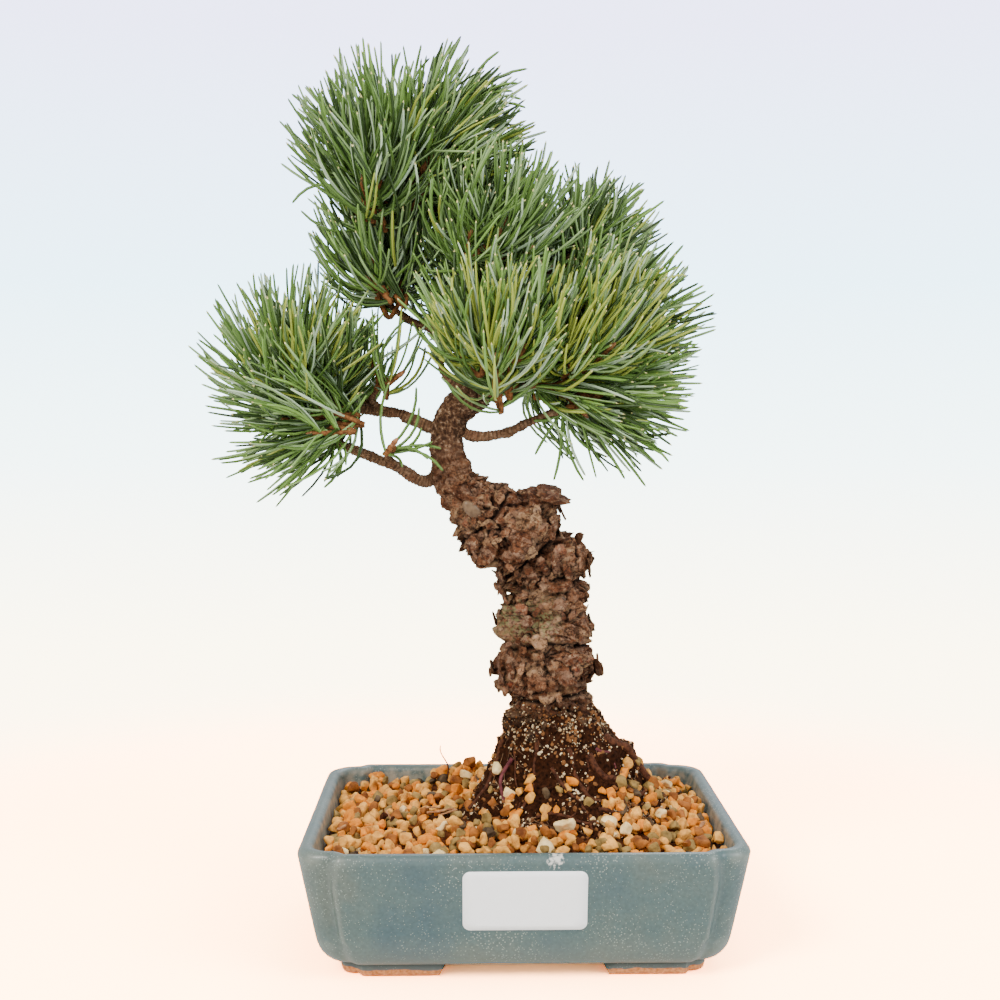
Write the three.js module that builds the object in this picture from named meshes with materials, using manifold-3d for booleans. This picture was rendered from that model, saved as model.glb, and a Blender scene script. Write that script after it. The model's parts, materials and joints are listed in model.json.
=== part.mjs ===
// A Japanese white pine bonsai in its glazed pot, which has stepped corners and four feet.
// Millimetres, +Z up. The front faces -Y, and the pot stands on the plane z = 0.
import * as THREE from 'three';
import { mergeVertices } from 'three/addons/utils/BufferGeometryUtils.js';
import Module from 'manifold-3d';

// Driving dimensions of the pot
const POT_WIDTH = 182;
const POT_DEPTH = 143;
const POT_HEIGHT = 55;
const FOOT_HEIGHT = 6;
const WALL = 6.4;
const WALL_LEAN = 0.19;
const FLOOR_THICKNESS = 6;
const PANEL_STOP = 11.6;
const PANEL_STEP = 6.6;
const CORNER_ROUND = 8;
const PANEL_ROUND = 3;
const CORNER_TAPER = 40;
const BOTTOM_ROUND = 10;
const BOTTOM_TUCK = 6.5;
const FLOOR_ROUND = 8;
const FLOOR_ROUND_REACH = 4;
const DRAIN_HOLE = 12;
const DRAIN_HOLE_SPACING = 80;
const FOOT_WIDTH = 11;
const FOOT_SETBACK = 0.5;
const FOOT_DRAFT = 1;
const FOOT_SLANT = 1.5;
const FRONT_FOOT_GAP = 66;
const SIDE_FOOT_GAP = 52;

// Driving dimensions of the soil
const SOIL_LEVEL = 81;
const GRAVEL_AT_WALL = 47.5;
const GRAVEL_AT_MOUND = 54;
const GRAVEL_SLOPE = 34;
const MOUND_SEAT = 49;
const MOUND_RADIUS = 47;
const MOUND_OFFSET = 3;
const MOUND_SHOULDER = 25;
const MOUND_HOLLOWNESS = 1.6;
const MOUND_ROUGHNESS = 0.7;
const ROOT_RIDGE = 5;
const GRAIN_BUMP = 1.1;
const GRAVEL_HEAP = 1.6;
const HEAP_SPACING = 24;
const BED_ROWS_ACROSS = 18;
const BED_ROWS_DEEP = 15;

// Driving dimensions of the tree
const TRUNK_FOOT = new THREE.Vector3(15, 6, SOIL_LEVEL);
const TRUNK_RADIUS = 18.5;
const TRUNK_TIP_RADIUS = 7;
const ROOT_FLARE = 5.5;
const BARK_RELIEF = 0.05;
const OVERHANG = { at: 0.5, depth: 7.5, length: 0.034 };
const NEEDLE_LENGTH = 34;
const NEEDLE_RADIUS = 1.2;
const NEEDLE_LIFT = 0.18;
const NOTCH_LENGTH = 6.5;
const BLADE_THICKNESS = 0.9;
const LOW_WHORL = { count: 11, tilt: 1.2 };
const HIGH_WHORL = { count: 9, tilt: 0.55 };
const WHORL_SPACING = 5.5;
const SHOOT_LIFT = 0.4;
const SHORTEST_NEEDLE = NOTCH_LENGTH * 1.1;
const SHOOT_RADIUS = 1.7;
const TWIG_RADIUS = 1.3;
const SHOOT_INSET = 27;
const SHOOT_SPREAD = [9, 40];
const GAP = 0.3;

const MOUND_X = TRUNK_FOOT.x + MOUND_OFFSET;

const wasm = await Module();
wasm.setup();

const UP = new THREE.Vector3(0, 0, 1);
const GOLDEN_ANGLE = Math.PI * (3 - Math.sqrt(5));

function point(x, y, z) {
  return new THREE.Vector3(x, y, z);
}

// A repeatable run of numbers between 0 and 1
function seeded(seed) {
  let state = seed * 7919 + 17;
  return () => {
    state = (state * 16807) % 2147483647;
    return state / 2147483647;
  };
}

// Closed bodies from rings of points

function loft(rings) {
  const count = rings[0].length;
  const position = [];
  const index = [];
  for (const ring of rings) {
    for (const p of ring) position.push(p.x, p.y, p.z);
  }
  for (let i = 0; i < rings.length - 1; i += 1) {
    for (let j = 0; j < count; j += 1) {
      const a = i * count + j;
      const b = i * count + (j + 1) % count;
      index.push(a, b, b + count, a, b + count, a + count);
    }
  }
  const lastRing = (rings.length - 1) * count;
  const ends = [rings[0], rings[rings.length - 1]];
  for (const ring of ends) {
    const middle = ring.reduce((sum, p) => sum.add(p), point(0, 0, 0)).divideScalar(count);
    position.push(middle.x, middle.y, middle.z);
  }
  const firstMiddle = rings.length * count;
  for (let j = 0; j < count; j += 1) {
    const k = (j + 1) % count;
    index.push(firstMiddle, k, j);
    index.push(firstMiddle + 1, lastRing + j, lastRing + k);
  }
  const geometry = new THREE.BufferGeometry();
  geometry.setAttribute('position', new THREE.Float32BufferAttribute(position, 3));
  geometry.setIndex(index);
  return geometry;
}

function solidFrom(geometry) {
  const plain = geometry.clone();
  plain.deleteAttribute('normal');
  plain.deleteAttribute('uv');
  const merged = mergeVertices(plain, 1e-4);
  const mesh = new wasm.Mesh({
    numProp: 3,
    vertProperties: new Float32Array(merged.attributes.position.array),
    triVerts: new Uint32Array(merged.index.array),
  });
  return new wasm.Manifold(mesh);
}

function geometryFrom(solid) {
  const mesh = solid.getMesh();
  const geometry = new THREE.BufferGeometry();
  geometry.setAttribute('position', new THREE.BufferAttribute(mesh.vertProperties, 3));
  geometry.setIndex(new THREE.BufferAttribute(mesh.triVerts, 1));
  return geometry;
}

// The biggest of the bodies that a cut leaves
function largestBody(solid) {
  const bodies = solid.decompose();
  return bodies.reduce((best, body) => (body.volume() > best.volume() ? body : best));
}

// The pot's outline: a rounded oblong whose long walls carry a panel that stands forward of the corners

function arc(centreX, centreY, radius, fromDegrees, toDegrees, steps) {
  const points = [];
  for (let i = 0; i <= steps; i += 1) {
    const angle = THREE.MathUtils.degToRad(fromDegrees + (toDegrees - fromDegrees) * i / steps);
    points.push(new THREE.Vector2(centreX + radius * Math.cos(angle), centreY + radius * Math.sin(angle)));
  }
  return points;
}

// A quarter of the outline, whose stepped corner gets smaller as the wall leans in
function potQuarter(inset) {
  const shrink = 1 - inset / CORNER_TAPER;
  const cornerRound = CORNER_ROUND * shrink;
  const panelRound = PANEL_ROUND * shrink;
  const halfWidth = POT_WIDTH / 2 - inset;
  const halfDepth = POT_DEPTH / 2 - inset;
  const cornerDepth = halfDepth - PANEL_STEP * shrink;
  const panelEnd = halfWidth - PANEL_STOP * shrink;
  return [
    ...arc(halfWidth - cornerRound, cornerDepth - cornerRound, cornerRound, 0, 90, 4),
    ...arc(panelEnd + panelRound, cornerDepth + panelRound, panelRound, 270, 180, 2),
    ...arc(panelEnd - panelRound, halfDepth - panelRound, panelRound, 0, 90, 3),
  ];
}

function potOutline(inset) {
  const quarter = potQuarter(inset);
  const half = [...quarter, ...quarter.map((p) => new THREE.Vector2(-p.x, p.y)).reverse()];
  return [...half, ...half.map((p) => new THREE.Vector2(p.x, -p.y)).reverse()];
}

function potRing(inset, z) {
  return potOutline(inset).map((p) => point(p.x, p.y, z));
}

function wallInset(z) {
  const lean = WALL_LEAN * Math.max(0, POT_HEIGHT - WALL / 2 - z);
  const depth = THREE.MathUtils.clamp((FOOT_HEIGHT + BOTTOM_ROUND - z) / BOTTOM_ROUND, 0, 1);
  return lean + BOTTOM_TUCK * (1 - Math.sqrt(1 - depth * depth));
}

function potBody() {
  const rimRadius = WALL / 2;
  const rimCentre = POT_HEIGHT - rimRadius;
  const floorTop = FOOT_HEIGHT + FLOOR_THICKNESS;
  const rings = [];
  for (const part of [0, 0.15, 0.4, 0.75, 1]) {
    const z = FOOT_HEIGHT + BOTTOM_ROUND * part;
    rings.push(potRing(wallInset(z), z));
  }
  rings.push(potRing(wallInset(POT_HEIGHT / 2), POT_HEIGHT / 2));
  for (let i = 0; i <= 4; i += 1) {
    const angle = Math.PI * i / 4;
    rings.push(potRing(rimRadius - rimRadius * Math.cos(angle), rimCentre + rimRadius * Math.sin(angle)));
  }
  const wallFoot = floorTop + FLOOR_ROUND;
  rings.push(potRing(wallInset(wallFoot) + WALL, wallFoot));
  rings.push(potRing(wallInset(wallFoot) + WALL + FLOOR_ROUND_REACH, floorTop));
  let body = solidFrom(loft(rings));
  for (const side of [-1, 1]) {
    const hole = new THREE.CylinderGeometry(DRAIN_HOLE / 2, DRAIN_HOLE / 2, POT_HEIGHT, 20);
    hole.rotateX(Math.PI / 2);
    hole.translate(side * DRAIN_HOLE_SPACING / 2, 0, 0);
    body = body.subtract(solidFrom(hole));
  }
  return geometryFrom(body);
}

// One foot under each corner: a strip that follows the outline, with slanted inner ends
function potFoot(sideX, sideY) {
  const outside = wallInset(FOOT_HEIGHT) + FOOT_SETBACK;
  const inside = outside + FOOT_WIDTH;
  const strip = solidFrom(loft([potRing(outside + FOOT_DRAFT, 0), potRing(outside, FOOT_HEIGHT)]));
  const inner = solidFrom(loft([potRing(inside, -1), potRing(inside, FOOT_HEIGHT + 1)]));
  const reach = POT_WIDTH;
  const corner = (z, grow) => [
    point(sideX * (FRONT_FOOT_GAP / 2 - grow), sideY * (SIDE_FOOT_GAP / 2 - grow), z),
    point(sideX * reach, sideY * (SIDE_FOOT_GAP / 2 - grow), z),
    point(sideX * reach, sideY * reach, z),
    point(sideX * (FRONT_FOOT_GAP / 2 - grow), sideY * reach, z),
  ];
  const rings = [corner(-1, -FOOT_SLANT), corner(FOOT_HEIGHT + 1, FOOT_SLANT)];
  if (sideX * sideY < 0) rings.forEach((ring) => ring.reverse());
  return geometryFrom(strip.subtract(inner).intersect(solidFrom(loft(rings))));
}

// Gravel, which fills the pot, and the mound of old soil and surface roots around the trunk's foot

const ROOTS = [
  { bearing: -12, rise: 1.5 },
  { bearing: 62, rise: 0.8 },
  { bearing: 128, rise: 0.8 },
  { bearing: 196, rise: 0.7 },
  { bearing: 262, rise: 0.6 },
  { bearing: 318, rise: 0.9 },
];

function rootRidge(bearing) {
  let ridge = 0;
  for (const root of ROOTS) {
    const away = Math.cos(bearing - THREE.MathUtils.degToRad(root.bearing));
    ridge = Math.max(ridge, root.rise * Math.max(0, away) ** 14);
  }
  return ridge;
}

// Height of the gravel: low along the walls, higher against the mound, and loosely heaped all over
function gravelHeight(x, y) {
  const away = Math.hypot(x - MOUND_X, y - TRUNK_FOOT.y);
  const share = THREE.MathUtils.smoothstep(away, MOUND_RADIUS, MOUND_RADIUS + GRAVEL_SLOPE);
  const turn = 2 * Math.PI / HEAP_SPACING;
  const heap = Math.sin(turn * x + y / 9) * Math.sin(turn * y - x / 14);
  return THREE.MathUtils.lerp(GRAVEL_AT_MOUND, GRAVEL_AT_WALL, share) + GRAVEL_HEAP * heap;
}

function gravelBed() {
  const random = seeded(3);
  const box = new THREE.BoxGeometry(POT_WIDTH, POT_DEPTH, POT_HEIGHT, BED_ROWS_ACROSS, BED_ROWS_DEEP, 1);
  const bed = mergeVertices(box.deleteAttribute('normal').deleteAttribute('uv'));
  const position = bed.attributes.position;
  for (let i = 0; i < position.count; i += 1) {
    if (position.getZ(i) < 0) continue;
    const height = gravelHeight(position.getX(i), position.getY(i));
    position.setZ(i, height + GRAIN_BUMP * (random() * 2 - 1));
  }
  const floor = FOOT_HEIGHT + FLOOR_THICKNESS + GAP;
  const wallFoot = floor + FLOOR_ROUND;
  const clear = WALL + 2 * GAP;
  const top = POT_HEIGHT - WALL / 2;
  const inside = loft([
    potRing(wallInset(wallFoot) + clear + FLOOR_ROUND_REACH, floor),
    potRing(wallInset(wallFoot) + clear, wallFoot),
    potRing(wallInset(top) + clear, top),
    potRing(wallInset(top) + clear, top + POT_HEIGHT),
  ]);
  const seat = new THREE.CylinderGeometry(MOUND_RADIUS + GAP, MOUND_RADIUS + GAP, POT_HEIGHT, 40);
  seat.rotateX(Math.PI / 2);
  seat.translate(MOUND_X, TRUNK_FOOT.y, MOUND_SEAT + POT_HEIGHT / 2);
  const filled = solidFrom(bed).intersect(solidFrom(inside)).subtract(solidFrom(seat));
  return geometryFrom(largestBody(filled));
}

function rootMound() {
  const random = seeded(11);
  const sides = 32;
  const layers = 7;
  const rings = [];
  for (let i = 0; i <= layers; i += 1) {
    const share = i / layers;
    const slope = THREE.MathUtils.lerp(MOUND_SHOULDER, MOUND_RADIUS, (1 - share) ** MOUND_HOLLOWNESS);
    const isEnd = i === 0 || i === layers;
    const ring = [];
    for (let j = 0; j < sides; j += 1) {
      const bearing = 2 * Math.PI * j / sides;
      const rough = MOUND_ROUGHNESS * (random() * 2 - 1);
      const relief = isEnd ? 0 : ROOT_RIDGE * rootRidge(bearing) + rough;
      const radius = Math.min(slope + relief, MOUND_RADIUS);
      ring.push(point(MOUND_X + radius * Math.cos(bearing),
        TRUNK_FOOT.y + radius * Math.sin(bearing), THREE.MathUtils.lerp(MOUND_SEAT, SOIL_LEVEL, share)));
    }
    rings.push(ring);
  }
  return loft(rings);
}

// Wood: every limb is a tapering body around a smooth middle line

function frames(curve, count) {
  const list = [];
  let side = point(1, 0, 0);
  for (let i = 0; i <= count; i += 1) {
    const t = i / count;
    const tangent = curve.getTangent(t);
    side = side.clone().addScaledVector(tangent, -side.dot(tangent)).normalize();
    const other = tangent.clone().cross(side);
    list.push({ t, middle: curve.getPoint(t), tangent, side, other });
  }
  return list;
}

function limbRings(curve, count, sides, radiusAt) {
  return frames(curve, count).map((frame) => {
    const ring = [];
    for (let j = 0; j < sides; j += 1) {
      const angle = 2 * Math.PI * j / sides;
      const radius = radiusAt(frame.t, angle);
      ring.push(frame.middle.clone()
        .addScaledVector(frame.side, radius * Math.cos(angle))
        .addScaledVector(frame.other, radius * Math.sin(angle)));
    }
    return ring;
  });
}

function smooth(points) {
  return new THREE.CatmullRomCurve3(points, false, 'catmullrom', 0.5);
}

// The trunk leans left over its foot, coils back at the shoulder and forks below the crown.
const TRUNK_LINE = smooth([
  TRUNK_FOOT,
  point(13, 6, 103),
  point(11, 7, 125),
  point(12, 8, 147),
  point(6, 7, 165),
  point(-10, 5, 179),
  point(-25, 4, 194),
  point(-32, 5, 212),
  point(-29, 6, 227),
  point(-18, 6, 237),
]);

// Old whorls of boughs left swellings, sharp below and drawn out above, with tight necks between them.
const KNUCKLES = [
  { at: 0.1, swell: -2.6, below: 0.034, above: 0.03 },
  { at: 0.165, swell: 3.4, below: 0.03, above: 0.042 },
  { at: 0.222, swell: -1.2, below: 0.014, above: 0.016 },
  { at: 0.275, swell: 1.6, below: 0.036, above: 0.042 },
  { at: 0.352, swell: -1.8, below: 0.014, above: 0.014 },
  { at: 0.4, swell: 3.2, below: 0.026, above: 0.034 },
  { at: 0.452, swell: -3, below: 0.014, above: 0.014 },
  { at: 0.49, swell: 5, below: 0.024, above: 0.07 },
];

function trunkRadius(t, angle) {
  const thin = THREE.MathUtils.smoothstep(t, 0.5, 0.74);
  let radius = THREE.MathUtils.lerp(TRUNK_RADIUS - 2.5 * t, TRUNK_TIP_RADIUS + 2 * (1 - t), thin);
  for (const knuckle of KNUCKLES) {
    const length = t < knuckle.at ? knuckle.below : knuckle.above;
    radius += knuckle.swell * Math.exp(-(((t - knuckle.at) / length) ** 2));
  }
  // The shoulder hangs over the stem below it on the left.
  const under = Math.exp(-(((t - OVERHANG.at) / OVERHANG.length) ** 2));
  radius -= OVERHANG.depth * under * Math.max(0, -Math.cos(angle)) ** 2;
  const flare = Math.exp(-t / 0.05);
  radius += ROOT_FLARE * flare * (0.6 + 0.7 * rootRidge(angle));
  const plates = Math.sin(3 * angle + 40 * t) * Math.sin(5 * angle - 57 * t + 1) +
    0.5 * Math.sin(7 * angle + 95 * t);
  return radius + plates * radius * BARK_RELIEF;
}

function trunkBody(grow) {
  const rings = limbRings(TRUNK_LINE, 60, 16, (t, angle) => trunkRadius(t, angle) + grow);
  rings[0].forEach((p) => { p.z = SOIL_LEVEL; });
  return loft(rings);
}

// Each bough springs from a place along its parent and tapers to where its foliage starts.
const BOUGHS = [
  { name: 'leader_lower', parent: null, from: 1, root: 6.6, tip: 4.2,
    line: [point(-4, 5, 241.5), point(10, 4, 245.5), point(21, 7, 257), point(23, 11, 271)] },
  { name: 'leader_upper', parent: 'leader_lower', from: 1, root: 4.1, tip: 2,
    line: [point(16, 15, 287), point(-4, 15, 303), point(-28, 11, 320), point(-45, 6, 333)] },
  { name: 'left_lower_bough', parent: 'trunk', from: 0.78, root: 3, tip: 1.8,
    line: [point(-40, 4, 198), point(-54.5, 0, 204.5), point(-72, -5, 212), point(-84, -8, 218)] },
  { name: 'left_upper_bough', parent: 'trunk', from: 0.9, root: 3, tip: 1.9,
    line: [point(-38, 8, 221.5), point(-53, 11, 227.3), point(-65, 10, 228.6), point(-81, 6, 232)] },
  { name: 'right_lower_bough', parent: 'trunk', from: 0.86, root: 2.6, tip: 1.5,
    line: [point(-20, 3, 217.5), point(-5.7, -2, 219.4), point(8, -5, 225.5), point(18, -8, 229)] },
  { name: 'dead_stub', parent: 'trunk', from: 0.97, root: 2.1, tip: 1.3,
    line: [point(-32.5, 2, 244), point(-34.5, 0, 252)] },
  { name: 'inner_left_bough', parent: 'leader_lower', from: 0.5, root: 2.3, tip: 1.5,
    line: [point(-14, 19, 254), point(-37, 16, 264), point(-49, 15, 269), point(-60, 13, 277)] },
  { name: 'right_inner_bough', parent: 'leader_lower', from: 0.75, root: 2.2, tip: 1.5,
    line: [point(8, -6, 257), point(-4, -14, 261)] },
  { name: 'right_outer_bough', parent: 'leader_lower', from: 0.88, root: 2.4, tip: 1.6,
    line: [point(30, 2, 265), point(36, -4, 267)] },
  { name: 'back_right_bough', parent: 'leader_lower', from: 0.86, root: 2.4, tip: 1.6,
    line: [point(27, 26, 273), point(30, 40, 279)] },
  { name: 'back_middle_bough', parent: 'leader_upper', from: 0.3, root: 2.2, tip: 1.5,
    line: [point(0, 30, 291), point(-12, 42, 289)] },
  { name: 'middle_bough', parent: 'leader_upper', from: 0.52, root: 2.1, tip: 1.4,
    line: [point(-8, 6, 306), point(-8, -2, 307)] },
  { name: 'right_back_bough', parent: 'leader_upper', from: 0.25, root: 2.1, tip: 1.4,
    line: [point(24, 22, 299), point(32, 28, 306)] },
  { name: 'back_top_bough', parent: 'leader_upper', from: 0.75, root: 1.9, tip: 1.4,
    line: [point(-34, 22, 327), point(-40, 30, 330)] },
  { name: 'apex_right_bough', parent: 'leader_upper', from: 0.72, root: 2, tip: 1.4,
    line: [point(-24, 10, 333), point(-23, 9, 343)] },
  { name: 'left_spur', parent: 'left_upper_bough', from: 0.62, root: 1.6, tip: 1.3,
    line: [point(-65, 9, 233), point(-63, 7, 238)] },
  { name: 'lower_spur', parent: 'left_lower_bough', from: 0.45, root: 1.6, tip: 1.3,
    line: [point(-57, -6, 208.5), point(-55, -10, 212)] },
  { name: 'back_left_bough', parent: 'left_upper_bough', from: 0.6, root: 1.7, tip: 1.3,
    line: [point(-74, 22, 235), point(-86, 32, 241)] },
];

const limbLines = { trunk: TRUNK_LINE };
const limbRadii = { trunk: (t) => trunkRadius(t, 0) + 3 };

function boughRadius(bough, t, angle) {
  const plain = THREE.MathUtils.lerp(bough.root, bough.tip, t);
  const collar = bough.root * 0.35 * Math.exp(-t / 0.08);
  const knots = 1 + 0.07 * Math.sin(2 * angle + 21 * t) + 0.06 * Math.sin(34 * t);
  return (plain + collar) * knots;
}

// Starts a bough at its parent's middle line, or just past its tip where it carries the parent on.
for (const bough of BOUGHS) {
  const parent = limbLines[bough.parent ?? 'trunk'];
  const start = parent.getPoint(bough.from);
  if (bough.from === 1) start.addScaledVector(parent.getTangent(1), GAP);
  const points = [start, ...bough.line];
  if (bough.from === 1) points.splice(1, 0, start.clone().addScaledVector(parent.getTangent(1), 4));
  limbLines[bough.name] = smooth(points);
  limbRadii[bough.name] = (t) => THREE.MathUtils.lerp(bough.root, bough.tip, t) * 1.15;
}

const BOUGH_SIDES = 6;

function boughBody(bough, grow) {
  const curve = limbLines[bough.name];
  const steps = Math.max(4, Math.round(curve.getLength() / 11));
  const radiusAt = (t, angle) => boughRadius(bough, t, angle) + grow;
  return loft(limbRings(curve, steps, BOUGH_SIDES, radiusAt));
}

// Foliage: each mass keeps to its own space, an oval round its heart

const MASSES = [
  { name: 'apex_left', bough: 'leader_upper', shoots: 5,
    heart: point(-65, -2, 344), reach: point(37, 36, 43) },
  { name: 'apex_right', bough: 'apex_right_bough', shoots: 4,
    heart: point(-27, 5, 353), reach: point(37, 34, 36) },
  { name: 'below_apex', bough: 'inner_left_bough', shoots: 3,
    heart: point(-62, 12, 303), reach: point(34, 33, 32) },
  { name: 'middle', bough: 'middle_bough', shoots: 4,
    heart: point(-10, -10, 312), reach: point(41, 34, 35) },
  { name: 'right_back', bough: 'right_back_bough', shoots: 3,
    heart: point(36, 31, 313), reach: point(33, 32, 31) },
  { name: 'right_inner', bough: 'right_inner_bough', shoots: 4,
    heart: point(-12, -20, 269), reach: point(38, 34, 35) },
  { name: 'right_outer', bough: 'right_outer_bough', shoots: 5,
    heart: point(40, -8, 272), reach: point(43, 38, 38) },
  { name: 'right_lower', bough: 'right_lower_bough', shoots: 4,
    heart: point(44, -4, 236), reach: point(38, 34, 37) },
  { name: 'left_upper', bough: 'left_upper_bough', shoots: 5,
    heart: point(-99, 2, 256), reach: point(41, 36, 41) },
  { name: 'left_lower', bough: 'left_lower_bough', shoots: 4,
    heart: point(-101, -10, 225), reach: point(37, 34, 37) },
  { name: 'left_inner', bough: 'left_spur', shoots: 3,
    heart: point(-59, 4, 246), reach: point(30, 30, 30) },
  { name: 'lower_fan', bough: 'lower_spur', shoots: 2,
    heart: point(-56, -15, 214), reach: point(28, 27, 26) },
  { name: 'back_left', bough: 'back_left_bough', shoots: 3,
    heart: point(-93, 38, 248), reach: point(34, 32, 34) },
  { name: 'back_top', bough: 'back_top_bough', shoots: 3,
    heart: point(-48, 36, 335), reach: point(36, 32, 38) },
  { name: 'back_middle', bough: 'back_middle_bough', shoots: 3,
    heart: point(-18, 48, 288), reach: point(38, 34, 36) },
  { name: 'back_right', bough: 'back_right_bough', shoots: 3,
    heart: point(34, 45, 282), reach: point(38, 34, 36) },
];

// What already stands somewhere, as round bars that later twigs and needles have to clear
const standing = [];

function barDistance(a, b, c, d) {
  const u = b.clone().sub(a);
  const v = d.clone().sub(c);
  const w = a.clone().sub(c);
  const uu = u.dot(u);
  const uv = u.dot(v);
  const vv = v.dot(v);
  const uw = u.dot(w);
  const vw = v.dot(w);
  const spread = uu * vv - uv * uv;
  let s = spread > 1e-9 ? THREE.MathUtils.clamp((uv * vw - vv * uw) / spread, 0, 1) : 0;
  const t = THREE.MathUtils.clamp((uv * s + vw) / vv, 0, 1);
  s = THREE.MathUtils.clamp((uv * t - uw) / uu, 0, 1);
  return w.addScaledVector(u, s).addScaledVector(v, -t).length();
}

function clears(a, b, radius, isOwn) {
  return standing.every((bar) => isOwn(bar.owner) ||
    barDistance(a, b, bar.a, bar.b) > radius + bar.radius + GAP);
}

for (const name of Object.keys(limbLines)) {
  const steps = 24;
  for (let i = 0; i < steps; i += 1) {
    standing.push({
      owner: name,
      a: limbLines[name].getPoint(i / steps),
      b: limbLines[name].getPoint((i + 1) / steps),
      radius: limbRadii[name](i / steps),
    });
  }
}

// How far out a place lies in a mass's oval: 0 at the heart, 1 at the edge
function depthIn(mass, place) {
  return place.clone().sub(mass.heart).divide(mass.reach).length();
}

function inOwnSpace(mass, place) {
  const own = depthIn(mass, place);
  return own < 1 && MASSES.every((other) => other === mass || depthIn(other, place) > own);
}

// The length of a needle that stays in its mass's space and touches nothing that stands
function roomFor(mass, isOwn, root, direction, length) {
  for (let share = 1; share > 0.35; share -= 0.15) {
    const end = root.clone().addScaledVector(direction, length * share);
    if (inOwnSpace(mass, end) && clears(root, end, NEEDLE_RADIUS, isOwn)) return length * share;
  }
  return 0;
}

// A direction that leans away from an axis by a tilt, at a turn around it
function leaning(axis, across, tilt, turn) {
  const sideways = across.clone().applyAxisAngle(axis, turn);
  return axis.clone().multiplyScalar(Math.cos(tilt)).addScaledVector(sideways, Math.sin(tilt));
}

// One whorl of needles: a thin cup round the shoot, with a tooth for each bundle of needles
function whorlRings(mass, names, centre, axis, across, kind, random) {
  const isOwn = (name) => name === names.whorl || name === names.twig;
  const lower = (p) => p.clone().addScaledVector(axis, -BLADE_THICKNESS);
  const at = (turn, length) => leaning(axis, across, kind.tilt, turn).multiplyScalar(length).add(centre);
  const hub = [];
  for (let h = 0; h < 3; h += 1) hub.push(at(2 * Math.PI * h / 3, SHOOT_RADIUS / Math.sin(kind.tilt)));
  const notches = [];
  const tips = [];
  for (let k = 0; k < kind.count; k += 1) {
    notches.push(at(2 * Math.PI * k / kind.count, NOTCH_LENGTH));
    const turn = 2 * Math.PI * (k + 0.5 + 0.5 * (random() - 0.5)) / kind.count;
    const direction = leaning(axis, across, kind.tilt + 0.3 * (random() - 0.5), turn);
    direction.addScaledVector(UP, NEEDLE_LIFT).normalize();
    const length = NEEDLE_LENGTH * (0.84 + 0.24 * random());
    const room = Math.max(roomFor(mass, isOwn, centre, direction, length), SHORTEST_NEEDLE);
    const tip = centre.clone().addScaledVector(direction, room);
    standing.push({ owner: names.whorl, a: centre, b: tip.clone(), radius: NEEDLE_RADIUS });
    tips.push(tip.addScaledVector(axis, -BLADE_THICKNESS / 2));
  }
  return { hubUnder: hub.map(lower), notchesUnder: notches.map(lower), tips, notches, hub };
}

// A shoot as one closed body: a three-sided twig, then its whorls one above the other
function shootBody(root, whorls) {
  const position = [];
  const index = [];
  const keep = (ring) => {
    const first = position.length / 3;
    for (const p of ring) position.push(p.x, p.y, p.z);
    return ring.map((p, i) => first + i);
  };
  const band = (from, to) => {
    let [i, j] = [0, 0];
    while (i < from.length || j < to.length) {
      const [a, b] = [from[i % from.length], to[j % to.length]];
      if (j >= to.length || (i < from.length && (i + 1) * to.length <= (j + 1) * from.length)) {
        index.push(a, from[(i + 1) % from.length], b);
        i += 1;
      } else {
        index.push(a, to[(j + 1) % to.length], b);
        j += 1;
      }
    }
  };
  let last = keep(root);
  index.push(last[2], last[1], last[0]);
  for (const whorl of whorls) {
    const hubUnder = keep(whorl.hubUnder);
    const under = keep(whorl.notchesUnder);
    const tips = keep(whorl.tips);
    const upper = keep(whorl.notches);
    const hub = keep(whorl.hub);
    band(last, hubUnder);
    band(hubUnder, under);
    for (let k = 0; k < tips.length; k += 1) {
      const next = (k + 1) % tips.length;
      index.push(under[k], under[next], tips[k], tips[k], upper[next], upper[k]);
      index.push(under[k], tips[k], upper[k], under[next], upper[next], tips[k]);
    }
    band(upper, hub);
    last = hub;
  }
  index.push(last[0], last[1], last[2]);
  const geometry = new THREE.BufferGeometry();
  geometry.setAttribute('position', new THREE.Float32BufferAttribute(position, 3));
  geometry.setIndex(index);
  return geometry;
}

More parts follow.
